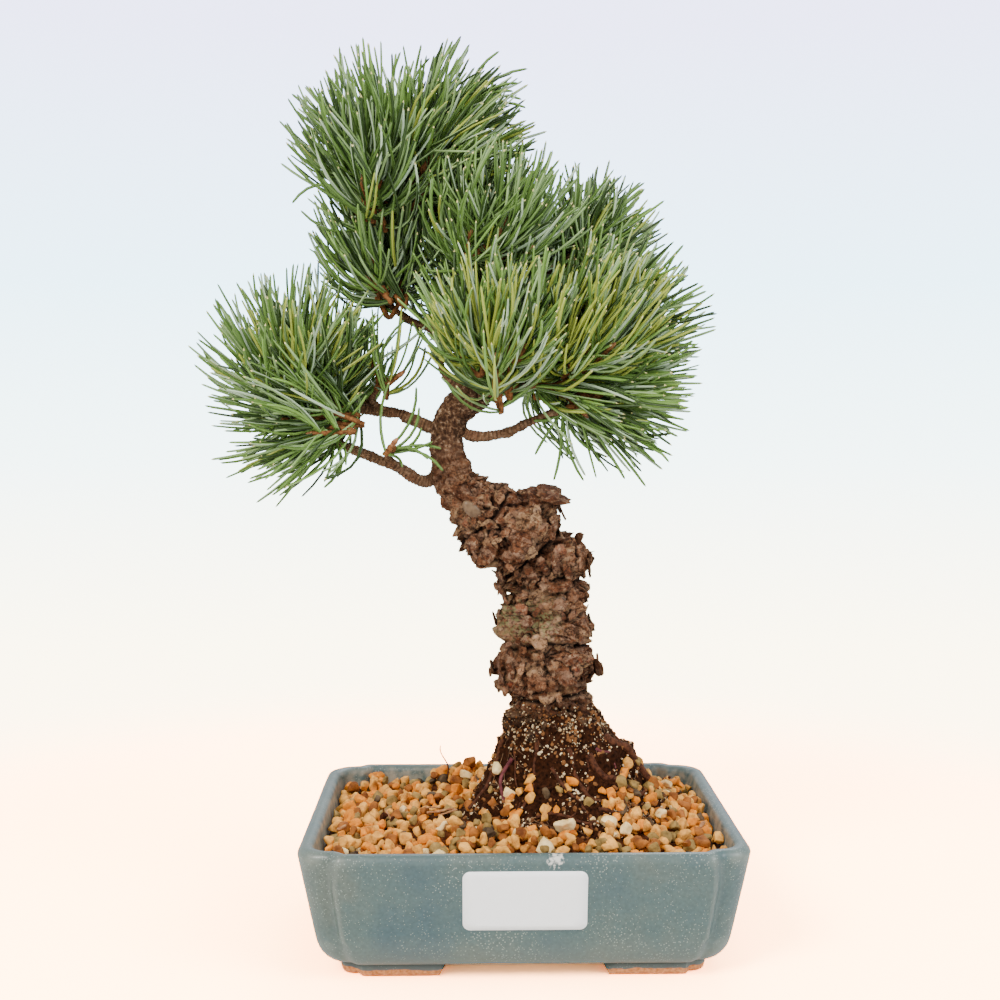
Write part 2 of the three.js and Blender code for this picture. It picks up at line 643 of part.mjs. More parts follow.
// One mass: a stem from the bough's tip, and shoots spread evenly round the heart
function growMass(mass, number, limbs) {
  const random = seeded(number + 1);
  const bough = BOUGHS.find((item) => item.name === mass.bough);
  const line = limbLines[mass.bough];
  const tangent = line.getTangent(1);
  const start = line.getPoint(1).addScaledVector(tangent, GAP);
  const bend = start.clone().addScaledVector(tangent, start.distanceTo(mass.heart) * 0.5);
  const stem = new THREE.QuadraticBezierCurve3(start, bend, mass.heart);
  const stemRadius = (t) => THREE.MathUtils.lerp(bough.tip * 0.95, SHOOT_RADIUS, t);
  const bodies = [solidFrom(loft(limbRings(stem, 3, 5, stemRadius)))];
  const stemBar = { owner: `${mass.name}_stem`, a: stem.getPoint(0.1), b: mass.heart, radius: SHOOT_RADIUS };
  standing.push(stemBar);
  const shootSpace = mass.reach.clone().subScalar(SHOOT_INSET).clampScalar(...SHOOT_SPREAD);
  const isOwn = (name) => name.startsWith(`${mass.name}_`) && name !== mass.bough;
  const shoots = [];
  for (let i = 0; i < mass.shoots; i += 1) {
    const height = 1 - 2 * (i + 0.5) / mass.shoots;
    const around = GOLDEN_ANGLE * i + number;
    const flat = Math.sqrt(1 - height * height);
    const out = point(flat * Math.cos(around), flat * Math.sin(around), height);
    const joint = stem.getPoint(0.6 + 0.35 * random());
    const axis = out.clone().addScaledVector(UP, SHOOT_LIFT).normalize();
    const high = mass.heart.clone().add(out.clone().multiply(shootSpace));
    const low = high.clone().addScaledVector(axis, -WHORL_SPACING);
    const twig = `${mass.name}_${i}`;
    if (!inOwnSpace(mass, high) || !clears(joint, high, SHOOT_RADIUS, isOwn)) continue;
    standing.push({ owner: twig, a: joint, b: high, radius: SHOOT_RADIUS });
    shoots.push({ twig, axis, joint, low, high });
  }
  for (const { twig, axis, joint, low, high } of shoots) {
    const across = point(1, 0, 0).cross(axis).normalize();
    const along = low.clone().sub(joint).normalize();
    const rootAcross = across.clone().addScaledVector(along, -across.dot(along)).normalize();
    const root = [0, 1, 2].map((h) => leaning(along, rootAcross, Math.PI / 2, 2 * Math.PI * h / 3)
      .multiplyScalar(TWIG_RADIUS).add(joint));
    const lowNames = { twig, whorl: `${twig}_low` };
    const highNames = { twig, whorl: `${twig}_high` };
    bodies.push(solidFrom(shootBody(root, [
      whorlRings(mass, lowNames, low, axis, across, LOW_WHORL, random),
      whorlRings(mass, highNames, high, axis, across, HIGH_WHORL, random),
    ])));
  }
  return geometryFrom(largestBody(wasm.Manifold.union(bodies).subtract(limbs)));
}

// Assembly

const glaze = new THREE.MeshStandardMaterial({ color: 0x5f8a90, roughness: 0.35, metalness: 0 });
const gravel = new THREE.MeshStandardMaterial({ color: 0xc08a4e, roughness: 0.95, metalness: 0 });
const oldSoil = new THREE.MeshStandardMaterial({ color: 0x3a2a22, roughness: 1, metalness: 0 });
const bark = new THREE.MeshStandardMaterial({ color: 0x6b5142, roughness: 0.95, metalness: 0 });
const needleGreen = new THREE.MeshStandardMaterial({ color: 0x4d7350, roughness: 0.6, metalness: 0 });

const bonsai = new THREE.Group();

function add(name, geometry, material) {
  const mesh = new THREE.Mesh(geometry, material);
  mesh.name = name;
  bonsai.add(mesh);
}

add('pot', potBody(), glaze);
for (const [end, sideY] of [['front', -1], ['back', 1]]) {
  for (const [side, sideX] of [['left', -1], ['right', 1]]) {
    add(`pot_foot_${end}_${side}`, potFoot(sideX, sideY), glaze);
  }
}
add('gravel_bed', gravelBed(), gravel);
add('root_mound', rootMound(), oldSoil);
add('trunk', trunkBody(0), bark);

// A bough is cut back to a gap from every limb that was there before it.
let olderLimbs = solidFrom(trunkBody(GAP));
for (const bough of BOUGHS) {
  let solid = solidFrom(boughBody(bough, 0));
  if (bough.from < 1) solid = largestBody(solid.subtract(olderLimbs));
  add(bough.name, geometryFrom(solid), bark);
  olderLimbs = olderLimbs.add(solidFrom(boughBody(bough, GAP)));
}

MASSES.forEach((mass, number) => {
  add(`${mass.name}_foliage`, growMass(mass, number, olderLimbs), needleGreen);
});

// The origin is below the middle of the whole plant, on the plane that the feet stand on.
const extent = new THREE.Box3().setFromObject(bonsai);
const middle = extent.getCenter(point(0, 0, 0));
bonsai.position.set(-middle.x, -middle.y, 0);
bonsai.updateMatrixWorld(true);

export default bonsai;
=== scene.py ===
import json
import math

import bpy
import numpy as np
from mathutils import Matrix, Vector
from mathutils.kdtree import KDTree

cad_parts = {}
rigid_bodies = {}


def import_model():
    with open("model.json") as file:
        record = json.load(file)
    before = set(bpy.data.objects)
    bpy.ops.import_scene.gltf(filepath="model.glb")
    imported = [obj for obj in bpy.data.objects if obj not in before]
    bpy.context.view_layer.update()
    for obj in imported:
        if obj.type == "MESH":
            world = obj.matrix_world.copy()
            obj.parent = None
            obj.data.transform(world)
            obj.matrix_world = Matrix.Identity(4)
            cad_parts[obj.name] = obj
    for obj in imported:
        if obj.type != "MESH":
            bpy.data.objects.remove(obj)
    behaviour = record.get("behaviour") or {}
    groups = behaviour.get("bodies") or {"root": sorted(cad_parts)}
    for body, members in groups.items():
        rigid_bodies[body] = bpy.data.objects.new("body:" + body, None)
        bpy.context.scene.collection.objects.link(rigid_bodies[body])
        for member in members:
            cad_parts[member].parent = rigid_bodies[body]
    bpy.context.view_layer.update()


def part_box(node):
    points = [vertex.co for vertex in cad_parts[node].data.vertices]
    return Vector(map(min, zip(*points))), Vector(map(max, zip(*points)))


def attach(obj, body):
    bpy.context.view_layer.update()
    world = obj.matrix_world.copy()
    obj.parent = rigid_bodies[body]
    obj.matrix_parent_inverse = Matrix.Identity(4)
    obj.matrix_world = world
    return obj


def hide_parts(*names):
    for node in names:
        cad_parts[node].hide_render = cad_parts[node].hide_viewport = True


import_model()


# The place of the plant
# Every size below is in millimetres from the point on the table under the pot's middle, with the front
# towards -Y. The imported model's frame is in metres, round the middle of the whole plant.

pot_low, pot_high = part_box("pot")
POT_MIDDLE = np.array([(pot_low.x + pot_high.x) / 2, (pot_low.y + pot_high.y) / 2, 0.0])


def metres(points):
    return np.asarray(points, float) * 0.001 + POT_MIDDLE


# The table, the light and the camera
# A pale table that runs out of sight, large soft lamps over the front on both sides and a bright plain
# room. The camera looks from just above the crown's foot.

CAMERA_PLACE = (-20.1, -586.5, 226.5)
CAMERA_DOWN = 0.0626
CAMERA_TURN = 0.0193
CAMERA_FOCAL = 48.44
LAMPS_AIM = (0, 0, 0.2)
TABLE_REACH = 1500


def in_scene(name, data):
    made = bpy.data.objects.new(name, data)
    bpy.context.scene.collection.objects.link(made)
    return made


camera_data = bpy.data.cameras.new("camera")
camera_data.lens = CAMERA_FOCAL
camera_data.clip_start = 0.01
camera = in_scene("camera", camera_data)
camera.location = metres(CAMERA_PLACE)
camera.rotation_euler = (math.pi / 2 - CAMERA_DOWN, 0, -CAMERA_TURN)
bpy.context.scene.camera = camera


def linear(colour):
    """An sRGB hex colour as linear light."""
    channels = [int(colour[i:i + 2], 16) / 255 for i in (1, 3, 5)]
    return tuple(c / 12.92 if c <= 0.04045 else ((c + 0.055) / 1.055) ** 2.4 for c in channels) + (1.0,)


def lamp(name, place, size, power, colour):
    data = bpy.data.lights.new(name, "AREA")
    data.shape = "DISK"
    data.size = size
    data.energy = power
    data.color = linear(colour)[:3]
    made = in_scene(name, data)
    made.location = place
    made.rotation_euler = (Vector(LAMPS_AIM) - Vector(place)).to_track_quat("-Z", "Y").to_euler()


lamp("left_softbox", (-0.9, -1.1, 1.25), 0.7, 38, "#fff8ee")
lamp("right_softbox", (1.2, -0.8, 1.0), 0.9, 21, "#f7faff")
lamp("back_softbox", (0.3, 1.3, 1.4), 0.9, 15, "#f8fbff")


def feed(tree, node, inputs):
    """Sets inputs of a node, each to a number, a hex colour, an output or the first output of a node."""
    for key, value in dict(inputs).items():
        if isinstance(value, bpy.types.Node):
            value = value.outputs[0]
        if isinstance(value, bpy.types.NodeSocket):
            tree.links.new(value, node.inputs[key])
        else:
            node.inputs[key].default_value = linear(value) if isinstance(value, str) else value


def add(tree, kind, inputs=(), **settings):
    """A new node with its settings and its inputs."""
    made = tree.nodes.new("ShaderNode" + kind)
    for key, value in settings.items():
        if key == "stops":
            while len(made.color_ramp.elements) < len(value):
                made.color_ramp.elements.new(1.0)
            for element, (position, colour) in zip(made.color_ramp.elements, value):
                element.position = position
                element.color = linear(colour)
        else:
            setattr(made, key, value)
    feed(tree, made, inputs)
    return made


def surface(name, **values):
    """A new material, its nodes and its shader, with plain values on the shader's own sockets."""
    made = bpy.data.materials.new(name)
    made.use_nodes = True
    shader = made.node_tree.nodes["Principled BSDF"]
    feed(made.node_tree, shader, {key.replace("_", " "): value for key, value in values.items()})
    return made, made.node_tree, shader


def piece(name, points, faces, materials, finish=None, smooth=True):
    """A mesh from points in millimetres; faces are arrays of corner numbers, one row a face."""
    corners = np.concatenate([rows.ravel() for rows in faces])
    sizes = np.concatenate([np.full(len(rows), rows.shape[1]) for rows in faces])
    mesh = bpy.data.meshes.new(name)
    mesh.vertices.add(len(points))
    mesh.vertices.foreach_set("co", metres(points).ravel())
    mesh.loops.add(len(corners))
    mesh.loops.foreach_set("vertex_index", corners.astype(np.int32))
    mesh.polygons.add(len(sizes))
    starts = np.concatenate([[0], np.cumsum(sizes)[:-1]])
    mesh.polygons.foreach_set("loop_start", starts.astype(np.int32))
    mesh.polygons.foreach_set("use_smooth", np.full(len(sizes), smooth))
    for each in materials:
        mesh.materials.append(each)
    if finish is not None:
        mesh.polygons.foreach_set("material_index", np.asarray(finish, np.int32))
    mesh.update(calc_edges=True)
    return in_scene(name, mesh)


# The wall of the room is overexposed, as in the photograph, where it is looked at; it lights the plant
# like a plain white wall.
room = bpy.data.worlds.new("room")
room.use_nodes = True
bpy.context.scene.world = room
wall = room.node_tree
direction = add(wall, "TexCoord").outputs["Generated"]
height = add(wall, "SeparateXYZ", {"Vector": direction}).outputs["Z"]
height = add(wall, "MapRange", {"Value": height, "From Min": -0.45, "From Max": 0.35})
shade = add(wall, "ValToRGB", {"Fac": height}, stops=[
    (0.06, "#fdc890"), (0.2, "#e8c69c"), (0.36, "#ccc2a4"), (0.52, "#a0b0b0"), (0.68, "#829eac"),
    (0.9, "#8486a0")])
seen_wall = add(wall, "Background", {"Color": shade, "Strength": 16.0})
lighting_wall = add(wall, "Background", {"Color": "#f6f8fc", "Strength": 1.25})
seen = add(wall, "LightPath").outputs["Is Camera Ray"]
both = add(wall, "MixShader", {0: seen, 1: lighting_wall, 2: seen_wall})
feed(wall, wall.nodes["World Output"], {"Surface": both})

# The table is lit and shaded by the lamps, shown as bright as the wall, and fades out into it.
table_top, tree, shader = surface("pale_table_lacquer", Base_Color="#f4efe6", Roughness=0.6)
shown_table = add(tree, "BsdfDiffuse", {"Color": (8.8, 3.9, 1.75, 1.0)})
seen = add(tree, "LightPath").outputs["Is Camera Ray"]
table_look = add(tree, "MixShader", {0: seen, 1: shader, 2: shown_table})
place = add(tree, "TexCoord").outputs["Object"]
away = add(tree, "VectorMath", {0: place}, operation="LENGTH").outputs["Value"]
fade = add(tree, "MapRange", {"Value": away, "From Min": 0.16, "From Max": 0.6},
           interpolation_type="SMOOTHERSTEP")
clear = add(tree, "BsdfTransparent")
table_look = add(tree, "MixShader", {0: fade, 1: table_look, 2: clear})
feed(tree, tree.nodes["Material Output"], {"Surface": table_look})
table_corners = [(x * TABLE_REACH, y * TABLE_REACH, 0) for x, y in ((-1, -1), (1, -1), (1, 1), (-1, 1))]
table = piece("table", table_corners, [np.array([[0, 1, 2, 3]])], [table_top])


# The pot
# A slip-cast stoneware pot for small trees, with a panel that stands forward of the corners on each long
# wall, a thick round rim, two drain holes and four low feet. It is dipped in a blue-green glaze.

POT_WIDTH = (pot_high.x - pot_low.x) * 1000
POT_DEPTH = (pot_high.y - pot_low.y) * 1000
RIM_HEIGHT = pot_high.z * 1000
FOOT_HEIGHT = pot_low.z * 1000
WALL = 6.4
WALL_LEAN = 0.19
PANEL_STOP = 11.6
PANEL_STEP = 6.6
CORNER_ROUND = 8
PANEL_ROUND = 3
CORNER_TAPER = 40
RIM_CORNER_ROUND = 12
RIM_STEP = 3.6
RIM_EASE = 7
WALL_SOFTNESS = 0.4
RIM_SOFTNESS = 0.85
BOTTOM_ROUND = 10
BOTTOM_TUCK = 6.5
FLOOR_TOP = FOOT_HEIGHT + 6
FLOOR_ROUND = 8
DRAIN_HOLE = 12
DRAIN_HOLE_SPACING = 80
HOLE_SIDES = 48
HAND_WAVE = 0.22
HAND_WAVE_LENGTH = 38
RIM_EASE_DEPTH = 16
FLOOR_COVE = 4
FIRST_RING_INSIDE = 29
LAST_RING_OF_RIM = 34
GROG_SPACING = 1.1
LIME_SMEAR = (12, -70, 53)
GLAZE_ROUGHNESS = 0.42
CLAY_ROUGHNESS = 0.9


def lumps(points, size, seed):
    """Smooth noise from -1 to 1 with lumps of a size in millimetres."""
    place = np.asarray(points, float) / size
    cell = np.floor(place).astype(np.int64)
    share = place - cell
    share = share * share * (3 - 2 * share)
    total = np.zeros(len(place))
    for corner in np.ndindex(2, 2, 2):
        c = cell + corner
        mixed = c[:, 0] * 73856093 ^ c[:, 1] * 19349663 ^ c[:, 2] * 83492791 ^ seed * 6700417
        mixed = ((mixed ^ (mixed >> 13)) * 1274126177) & 0xFFFFFFFF
        mixed = ((mixed ^ (mixed >> 15)) * 2246822519) & 0xFFFFFFFF
        weight = np.prod(np.where(corner, share, 1 - share), axis=1)
        total += weight * ((mixed >> 8) / 0xFFFFFF * 2 - 1)
    return total


def smoothstep(value, low, high):
    share = np.clip((np.asarray(value, float) - low) / (high - low), 0, 1)
    return share * share * (3 - 2 * share)


def arc(x, y, radius, start, stop, steps):
    angles = np.radians(np.linspace(start, stop, steps + 1))
    return np.stack([x + radius * np.cos(angles), y + radius * np.sin(angles)], 1)


def pot_quarter(inset, soft=0.0, steps=8):
    """A quarter of the pot from above, with a stepped corner that shrinks inward and may be softened."""
    shrink = 1 - inset / CORNER_TAPER
    corner_round = CORNER_ROUND * shrink
    panel_round = PANEL_ROUND * shrink
    half_width = POT_WIDTH / 2 - inset
    half_depth = POT_DEPTH / 2 - inset
    corner_depth = half_depth - PANEL_STEP * shrink
    panel_end = half_width - PANEL_STOP * shrink
    fold = np.concatenate([
        arc(panel_end + panel_round, corner_depth + panel_round, panel_round, 270, 180, steps // 2),
        arc(panel_end - panel_round, half_depth - panel_round, panel_round, 0, 90, steps // 2)])
    corner = arc(half_width - corner_round, corner_depth - corner_round, corner_round, 0, 90, steps)
    sharp = np.concatenate([corner, fold])
    eased_round = RIM_CORNER_ROUND * shrink
    eased_depth = half_depth - RIM_STEP * shrink
    eased_x = half_width - eased_round - RIM_EASE * shrink * (np.arange(len(fold)) + 1) / len(fold)
    eased_y = half_depth - RIM_STEP * shrink * smoothstep(eased_x, eased_x[-1], half_width - eased_round)
    eased = np.concatenate([
        arc(half_width - eased_round, eased_depth - eased_round, eased_round, 0, 90, steps),
        np.stack([eased_x, eased_y], 1)])
    return sharp + (eased - sharp) * soft


def pot_outline(inset, soft=0.0, spacing=3.0):
    """The pot seen from above, inset from its widest outline, with even steps along its straight walls."""
    quarter = pot_quarter(inset, soft)
    half = np.concatenate([quarter, (quarter * (-1, 1))[::-1]])
    corners = np.concatenate([half, (half * (1, -1))[::-1]])
    full = []
    for start, stop, wide in zip(corners, np.roll(corners, -1, 0), pot_gaps(spacing)):
        full.extend(start + (stop - start) * k / wide for k in range(wide))
    return np.array(full)


def pot_gaps(spacing, steps=8):
    """How many steps each stretch of the outline takes, which is the same at every inset."""
    quarter = [1] * (2 * steps + 2)
    across = round((POT_WIDTH - 2 * PANEL_STOP) / spacing)
    deep = round((POT_DEPTH - 2 * PANEL_STEP - 2 * CORNER_ROUND) / spacing)
    half = quarter + [across] + quarter[::-1]
    return half + [deep] + half + [deep]


def wall_inset(z):
    lean = WALL_LEAN * max(0, RIM_HEIGHT - WALL / 2 - z)
    depth = min(max((FOOT_HEIGHT + BOTTOM_ROUND - z) / BOTTOM_ROUND, 0), 1)
    return lean + BOTTOM_TUCK * (1 - math.sqrt(1 - depth * depth))


def grid_faces(rows, columns, closed=True):
    """Quads between rings of points that follow one another."""
    j = np.arange(columns if closed else columns - 1)
    i = np.arange(rows - 1)[:, None] * columns
    k = (j + 1) % columns
    return np.stack([i + j, i + k, i + k + columns, i + j + columns], -1).reshape(-1, 4)


def capped(rows, columns):
    """The faces of a closed tube: its wall, its first end and its last."""
    ring = np.arange(columns)[None]
    return [grid_faces(rows, columns), ring[:, ::-1], ring + (rows - 1) * columns]


def mark(made, **values):
    """Numbers kept at each point of a mesh, which its surface reads."""
    for name, numbers in values.items():
        kept = made.data.attributes.new(name, "FLOAT", "POINT")
        kept.data.foreach_set("value", np.asarray(numbers, np.float32))


rim_radius = WALL / 2
wall_foot = FLOOR_TOP + FLOOR_ROUND
shoulder = RIM_HEIGHT - rim_radius
pot_profile = [(wall_inset(z), z) for z in FOOT_HEIGHT + BOTTOM_ROUND * np.linspace(0, 1, 10) ** 1.6]
pot_profile += [(wall_inset(z), z) for z in np.linspace(FOOT_HEIGHT + BOTTOM_ROUND, shoulder, 14)[1:]]
pot_profile += [(rim_radius * (1 - math.cos(a)), shoulder + rim_radius * math.sin(a))
                for a in np.linspace(0, math.pi, 13)[1:]]
pot_profile += [(wall_inset(z) + WALL, z) for z in np.linspace(shoulder, wall_foot, 10)[1:]]
pot_profile += [(wall_inset(wall_foot) + WALL + FLOOR_COVE, FLOOR_TOP)]
pot_rings = []
for inset, z in pot_profile:
    near_rim = 1 if inset > WALL else smoothstep(z, RIM_HEIGHT - RIM_EASE_DEPTH, RIM_HEIGHT - 1)
    soft = WALL_SOFTNESS + (RIM_SOFTNESS - WALL_SOFTNESS) * near_rim
    pot_rings.append(np.insert(pot_outline(inset, soft), 2, z, axis=1))
ring_size = len(pot_rings[0])
pot_points = np.concatenate(pot_rings + [[(0, 0, FOOT_HEIGHT), (0, 0, FLOOR_TOP)]])
around = np.arange(ring_size)
first_middle = len(pot_points) - 2
last_ring = first_middle - ring_size
underside = np.stack([np.full(ring_size, first_middle), (around + 1) % ring_size, around], 1)
inner_floor = np.stack([np.full(ring_size, first_middle + 1), last_ring + around,
                        last_ring + (around + 1) % ring_size], 1)
waves = np.stack([lumps(pot_points, HAND_WAVE_LENGTH, seed) for seed in (3, 4)], 1) * HAND_WAVE
pot_points[:, :2] += waves * smoothstep(pot_points[:, 2], FOOT_HEIGHT, FOOT_HEIGHT + 12)[:, None]

# Dipped stoneware glaze: a satin coat that breaks pale on edges, pools darker in the creases and is
# sown with fine pale specks where the clay's grog shows through it.
glaze, tree, shader = surface("dipped_stoneware_glaze", Coat_Weight=0.12, Coat_Roughness=0.2)
place = add(tree, "TexCoord").outputs["Object"]
cloud = add(tree, "TexNoise", {"Vector": place, "Scale": 1000 / 42, "Detail": 4.0, "Roughness": 0.6})
coat = add(tree, "ValToRGB", {"Fac": cloud}, stops=[(0.34, "#375057"), (0.52, "#455a59"), (0.68, "#545f58")])
grain = add(tree, "TexNoise", {"Vector": place, "Scale": 1000 / 1.3, "Detail": 2.0})
grain_tone = add(tree, "ValToRGB", {"Fac": grain}, stops=[(0.3, "#d2d6d2"), (0.7, "#ffffff")])
coat = add(tree, "MixRGB", {"Fac": 0.8, "Color1": coat, "Color2": grain_tone}, blend_type="MULTIPLY")
bend = add(tree, "NewGeometry").outputs["Pointiness"]
thin = add(tree, "MapRange", {"Value": bend, "From Min": 0.515, "From Max": 0.56})
uneven = add(tree, "TexNoise", {"Vector": place, "Scale": 1000 / 5, "Detail": 4.0})
thin = add(tree, "Math", {0: thin, 1: uneven}, operation="MULTIPLY")
pooled = add(tree, "MapRange", {"Value": bend, "From Min": 0.485, "From Max": 0.44, "To Max": 0.5})
grog = add(tree, "TexVoronoi", {"Vector": place, "Scale": 1000 / GROG_SPACING})
sown = add(tree, "TexNoise", {"Vector": place, "Scale": 1000 / 24, "Detail": 2.0})
speck = add(tree, "MapRange", {"Value": sown, "From Min": 0.36, "From Max": 0.62,
                               "To Min": 0.1, "To Max": 0.27})
speck = add(tree, "Math", {0: grog, 1: speck}, operation="LESS_THAN")
inside = add(tree, "Attribute", attribute_name="inside").outputs["Fac"]
dusted = add(tree, "MapRange", {"Value": uneven, "From Min": 0.35, "From Max": 0.6, "To Max": 0.8})
dusted = add(tree, "Math", {0: dusted, 1: inside}, operation="MULTIPLY")
height = add(tree, "SeparateXYZ", {"Vector": place}).outputs["Z"]
# The lowest part of the wall is painted lighter and warmer: partly painted light thrown up by the table,
# partly mineral dust.
table_bounce_light_and_dust = add(tree, "MapRange", {"Value": height, "From Min": 0.022, "From Max": 0.004, "To Max": 0.4})
smear = add(tree, "VectorMath", {0: place, 1: tuple(metres(LIME_SMEAR))}, operation="DISTANCE")
smear = add(tree, "MapRange", {"Value": smear.outputs["Value"], "From Min": 0.0, "From Max": 0.009})
smear = add(tree, "Math", {0: grain, 1: smear}, operation="SUBTRACT")
smear = add(tree, "MapRange", {"Value": smear, "From Min": 0.12, "From Max": 0.3, "To Max": 0.8})
for share, tone in ((thin, "#93978a"), (pooled, "#33464a"), (speck, "#7b857e"), (dusted, "#8f8775"),
                    (table_bounce_light_and_dust, "#78776a"), (smear, "#dad5ca")):
    coat = add(tree, "MixRGB", {"Fac": share, "Color1": coat, "Color2": tone})
ragged = add(tree, "TexNoise", {"Vector": place, "Scale": 1000 / 7, "Detail": 3.0})
glaze_foot = add(tree, "MapRange", {"Value": ragged, "To Min": 0.0016, "To Max": 0.0042})
is_glazed = add(tree, "Math", {0: height, 1: glaze_foot}, operation="GREATER_THAN")
clay_tone = add(tree, "ValToRGB", {"Fac": grain}, stops=[(0.3, "#b4652f"), (0.7, "#e3955c")])
coat = add(tree, "MixRGB", {"Fac": is_glazed, "Color1": clay_tone, "Color2": coat})
sheen = add(tree, "MapRange", {"Value": is_glazed, "To Min": CLAY_ROUGHNESS, "To Max": GLAZE_ROUGHNESS})
ripple = add(tree, "TexNoise", {"Vector": place, "Scale": 1000 / 6, "Detail": 5.0})
relief = add(tree, "Bump", {"Height": ripple, "Strength": 0.25, "Distance": 0.0005})
relief = add(tree, "Bump", {"Height": speck, "Strength": 0.2, "Distance": 0.0001, "Normal": relief})
feed(tree, shader, {"Base Color": coat, "Roughness": sheen, "Normal": relief})

pot_faces = [grid_faces(len(pot_rings), ring_size), underside, inner_floor]
pot_blank = piece("pot_blank", pot_points, pot_faces, [glaze])
past_rim = smoothstep(np.arange(len(pot_rings)), FIRST_RING_INSIDE, LAST_RING_OF_RIM)
mark(pot_blank, inside=np.append(np.repeat(past_rim, ring_size), (0, 1)))
for side in (-1, 1):
    hole_rim = arc(side * DRAIN_HOLE_SPACING / 2, 0, DRAIN_HOLE / 2, 0, 360 - 360 / HOLE_SIDES,
                   HOLE_SIDES - 1)
    hole_points = [np.insert(hole_rim, 2, z, axis=1) for z in (FOOT_HEIGHT - 5, FLOOR_TOP + 5)]
    hole = piece("drain_hole", np.concatenate(hole_points), capped(2, HOLE_SIDES), [glaze], smooth=False)
    cut = pot_blank.modifiers.new("drain", "BOOLEAN")
    cut.object = hole
    cut.operation = "DIFFERENCE"
    cut.solver = "EXACT"
ready = bpy.context.evaluated_depsgraph_get()
pot_shell = in_scene("pot_shell", bpy.data.meshes.new_from_object(pot_blank.evaluated_get(ready)))
for spent in [pot_blank] + [o for o in bpy.data.objects if o.name.startswith("drain_hole")]:
    bpy.data.objects.remove(spent)
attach(pot_shell, "root")
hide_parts("pot")


# The feet
# Low strips of the same clay that follow the outline under each corner, slanted at their ends; they are
# glazed with the pot, and their soles are wiped bare.

FOOT_WIDTH = 11
FRONT_FOOT_GAP = 66
SIDE_FOOT_GAP = 52
FOOT_SETBACK = 0.5
FOOT_DRAFT = 1.0
FOOT_SLANT = 1.5
FOOT_EDGE = 0.9


def foot_path(inset):
    """One corner's stretch of the outline, from the gap in the side to the gap in the front."""
    bends = pot_quarter(inset, WALL_SOFTNESS)
    side = np.stack([np.full(6, bends[0][0]), np.linspace(SIDE_FOOT_GAP / 2, bends[0][1], 6)], 1)[:-1]
    front = np.stack([np.linspace(bends[-1][0], FRONT_FOOT_GAP / 2, 9), np.full(9, bends[-1][1])], 1)[1:]
    return np.concatenate([side, bends, front])


foot_outside = wall_inset(FOOT_HEIGHT) + FOOT_SETBACK
foot_section = [
    (0, FOOT_HEIGHT), (FOOT_DRAFT, FOOT_EDGE), (FOOT_DRAFT + 0.3, 0.3), (FOOT_DRAFT + FOOT_EDGE, 0),
    (FOOT_WIDTH - FOOT_EDGE, 0), (FOOT_WIDTH - 0.3, 0.3), (FOOT_WIDTH, FOOT_EDGE), (FOOT_WIDTH, FOOT_HEIGHT)]
for end, side_y in (("front", -1), ("back", 1)):
    for hand, side_x in (("left", -1), ("right", 1)):
        strips = [np.insert(foot_path(foot_outside + inset), 2, z, axis=1) for inset, z in foot_section]
        foot_points = np.stack(strips, 1)
        slant = FOOT_SLANT * (1 - 2 * foot_points[0, :, 2] / FOOT_HEIGHT)
        foot_points[0, :, 1] += slant
        foot_points[-1, :, 0] += slant
        stations, columns = foot_points.shape[:2]
        rough = lumps(foot_points.reshape(-1, 3) * (side_x, side_y, 1), 9, 7)[:, None] * (0.15, 0.15, 0)
        foot_points = (foot_points.reshape(-1, 3) + rough) * (side_x, side_y, 1)
        ends = [np.arange(columns)[None], np.arange(columns)[None, ::-1] + (stations - 1) * columns]
        foot_faces = [grid_faces(stations, columns), *ends]
        if side_x * side_y > 0:
            foot_faces = [rows[:, ::-1] for rows in foot_faces]
        foot = piece(f"foot_{end}_{hand}", foot_points, foot_faces, [glaze])
        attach(foot, "root")
        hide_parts(f"pot_foot_{end}_{hand}")


# The label
# A blank self-adhesive label of gloss white paper with round corners, die-cut on its roll and pressed
# by hand on the front wall.

LABEL_WIDTH = 49.2
LABEL_HEIGHT = 25.1
LABEL_ROUND = 3
LABEL_PAPER = 0.16
LABEL_MIDDLE = (-0.2, 36.1)

# Gloss paper: clean white, with a faint cockle where it lies on the uneven glaze.
paper, tree, shader = surface("gloss_label_paper", Roughness=0.34)
place = add(tree, "TexCoord").outputs["Object"]
fibre = add(tree, "TexNoise", {"Vector": place, "Scale": 1000 / 3, "Detail": 3.0})
tone = add(tree, "ValToRGB", {"Fac": fibre}, stops=[(0.3, "#fdfcfc"), (0.7, "#ffffff")])
cockle = add(tree, "Bump", {"Height": fibre, "Strength": 0.1, "Distance": 0.0004})
feed(tree, shader, {"Base Color": tone, "Normal": cockle})

half_wide, half_high = LABEL_WIDTH / 2 - LABEL_ROUND, LABEL_HEIGHT / 2 - LABEL_ROUND
edge = np.concatenate([arc(x, z, LABEL_ROUND, start, start + 90, 8) for x, z, start in (
    (half_wide, half_high, 0), (-half_wide, half_high, 90), (-half_wide, -half_high, 180),
    (half_wide, -half_high, 270))]) + LABEL_MIDDLE


def on_front_wall(flat, lift):
    """Points of the front wall, lifted off it, from places across and up."""
    depths = [POT_DEPTH / 2 - wall_inset(z) + lift for x, z in flat]
    return np.stack([flat[:, 0], -np.array(depths), flat[:, 1]], 1)


shrink = [1.0, 0.8, 0.5, 0.2]
label_rings = [on_front_wall(edge, HAND_WAVE - 1.0)]
label_rings += [on_front_wall((edge - LABEL_MIDDLE) * share + LABEL_MIDDLE, HAND_WAVE + LABEL_PAPER)
                for share in shrink]
label_points = np.concatenate(label_rings)
label_cap = np.arange(len(edge))[None] + len(edge) * len(shrink)
label_back = np.arange(len(edge))[None, ::-1]
label = piece("blank_label", label_points, [grid_faces(len(label_rings), len(edge)), label_cap, label_back],
              [paper])
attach(label, "root")


# The root mound
# The old crumbly dark soil of the root ball, which stands up out of the gravel as a cone round the foot of
# the trunk. It is sown with pale and brown grains of the former mix, and thin roots cross it.

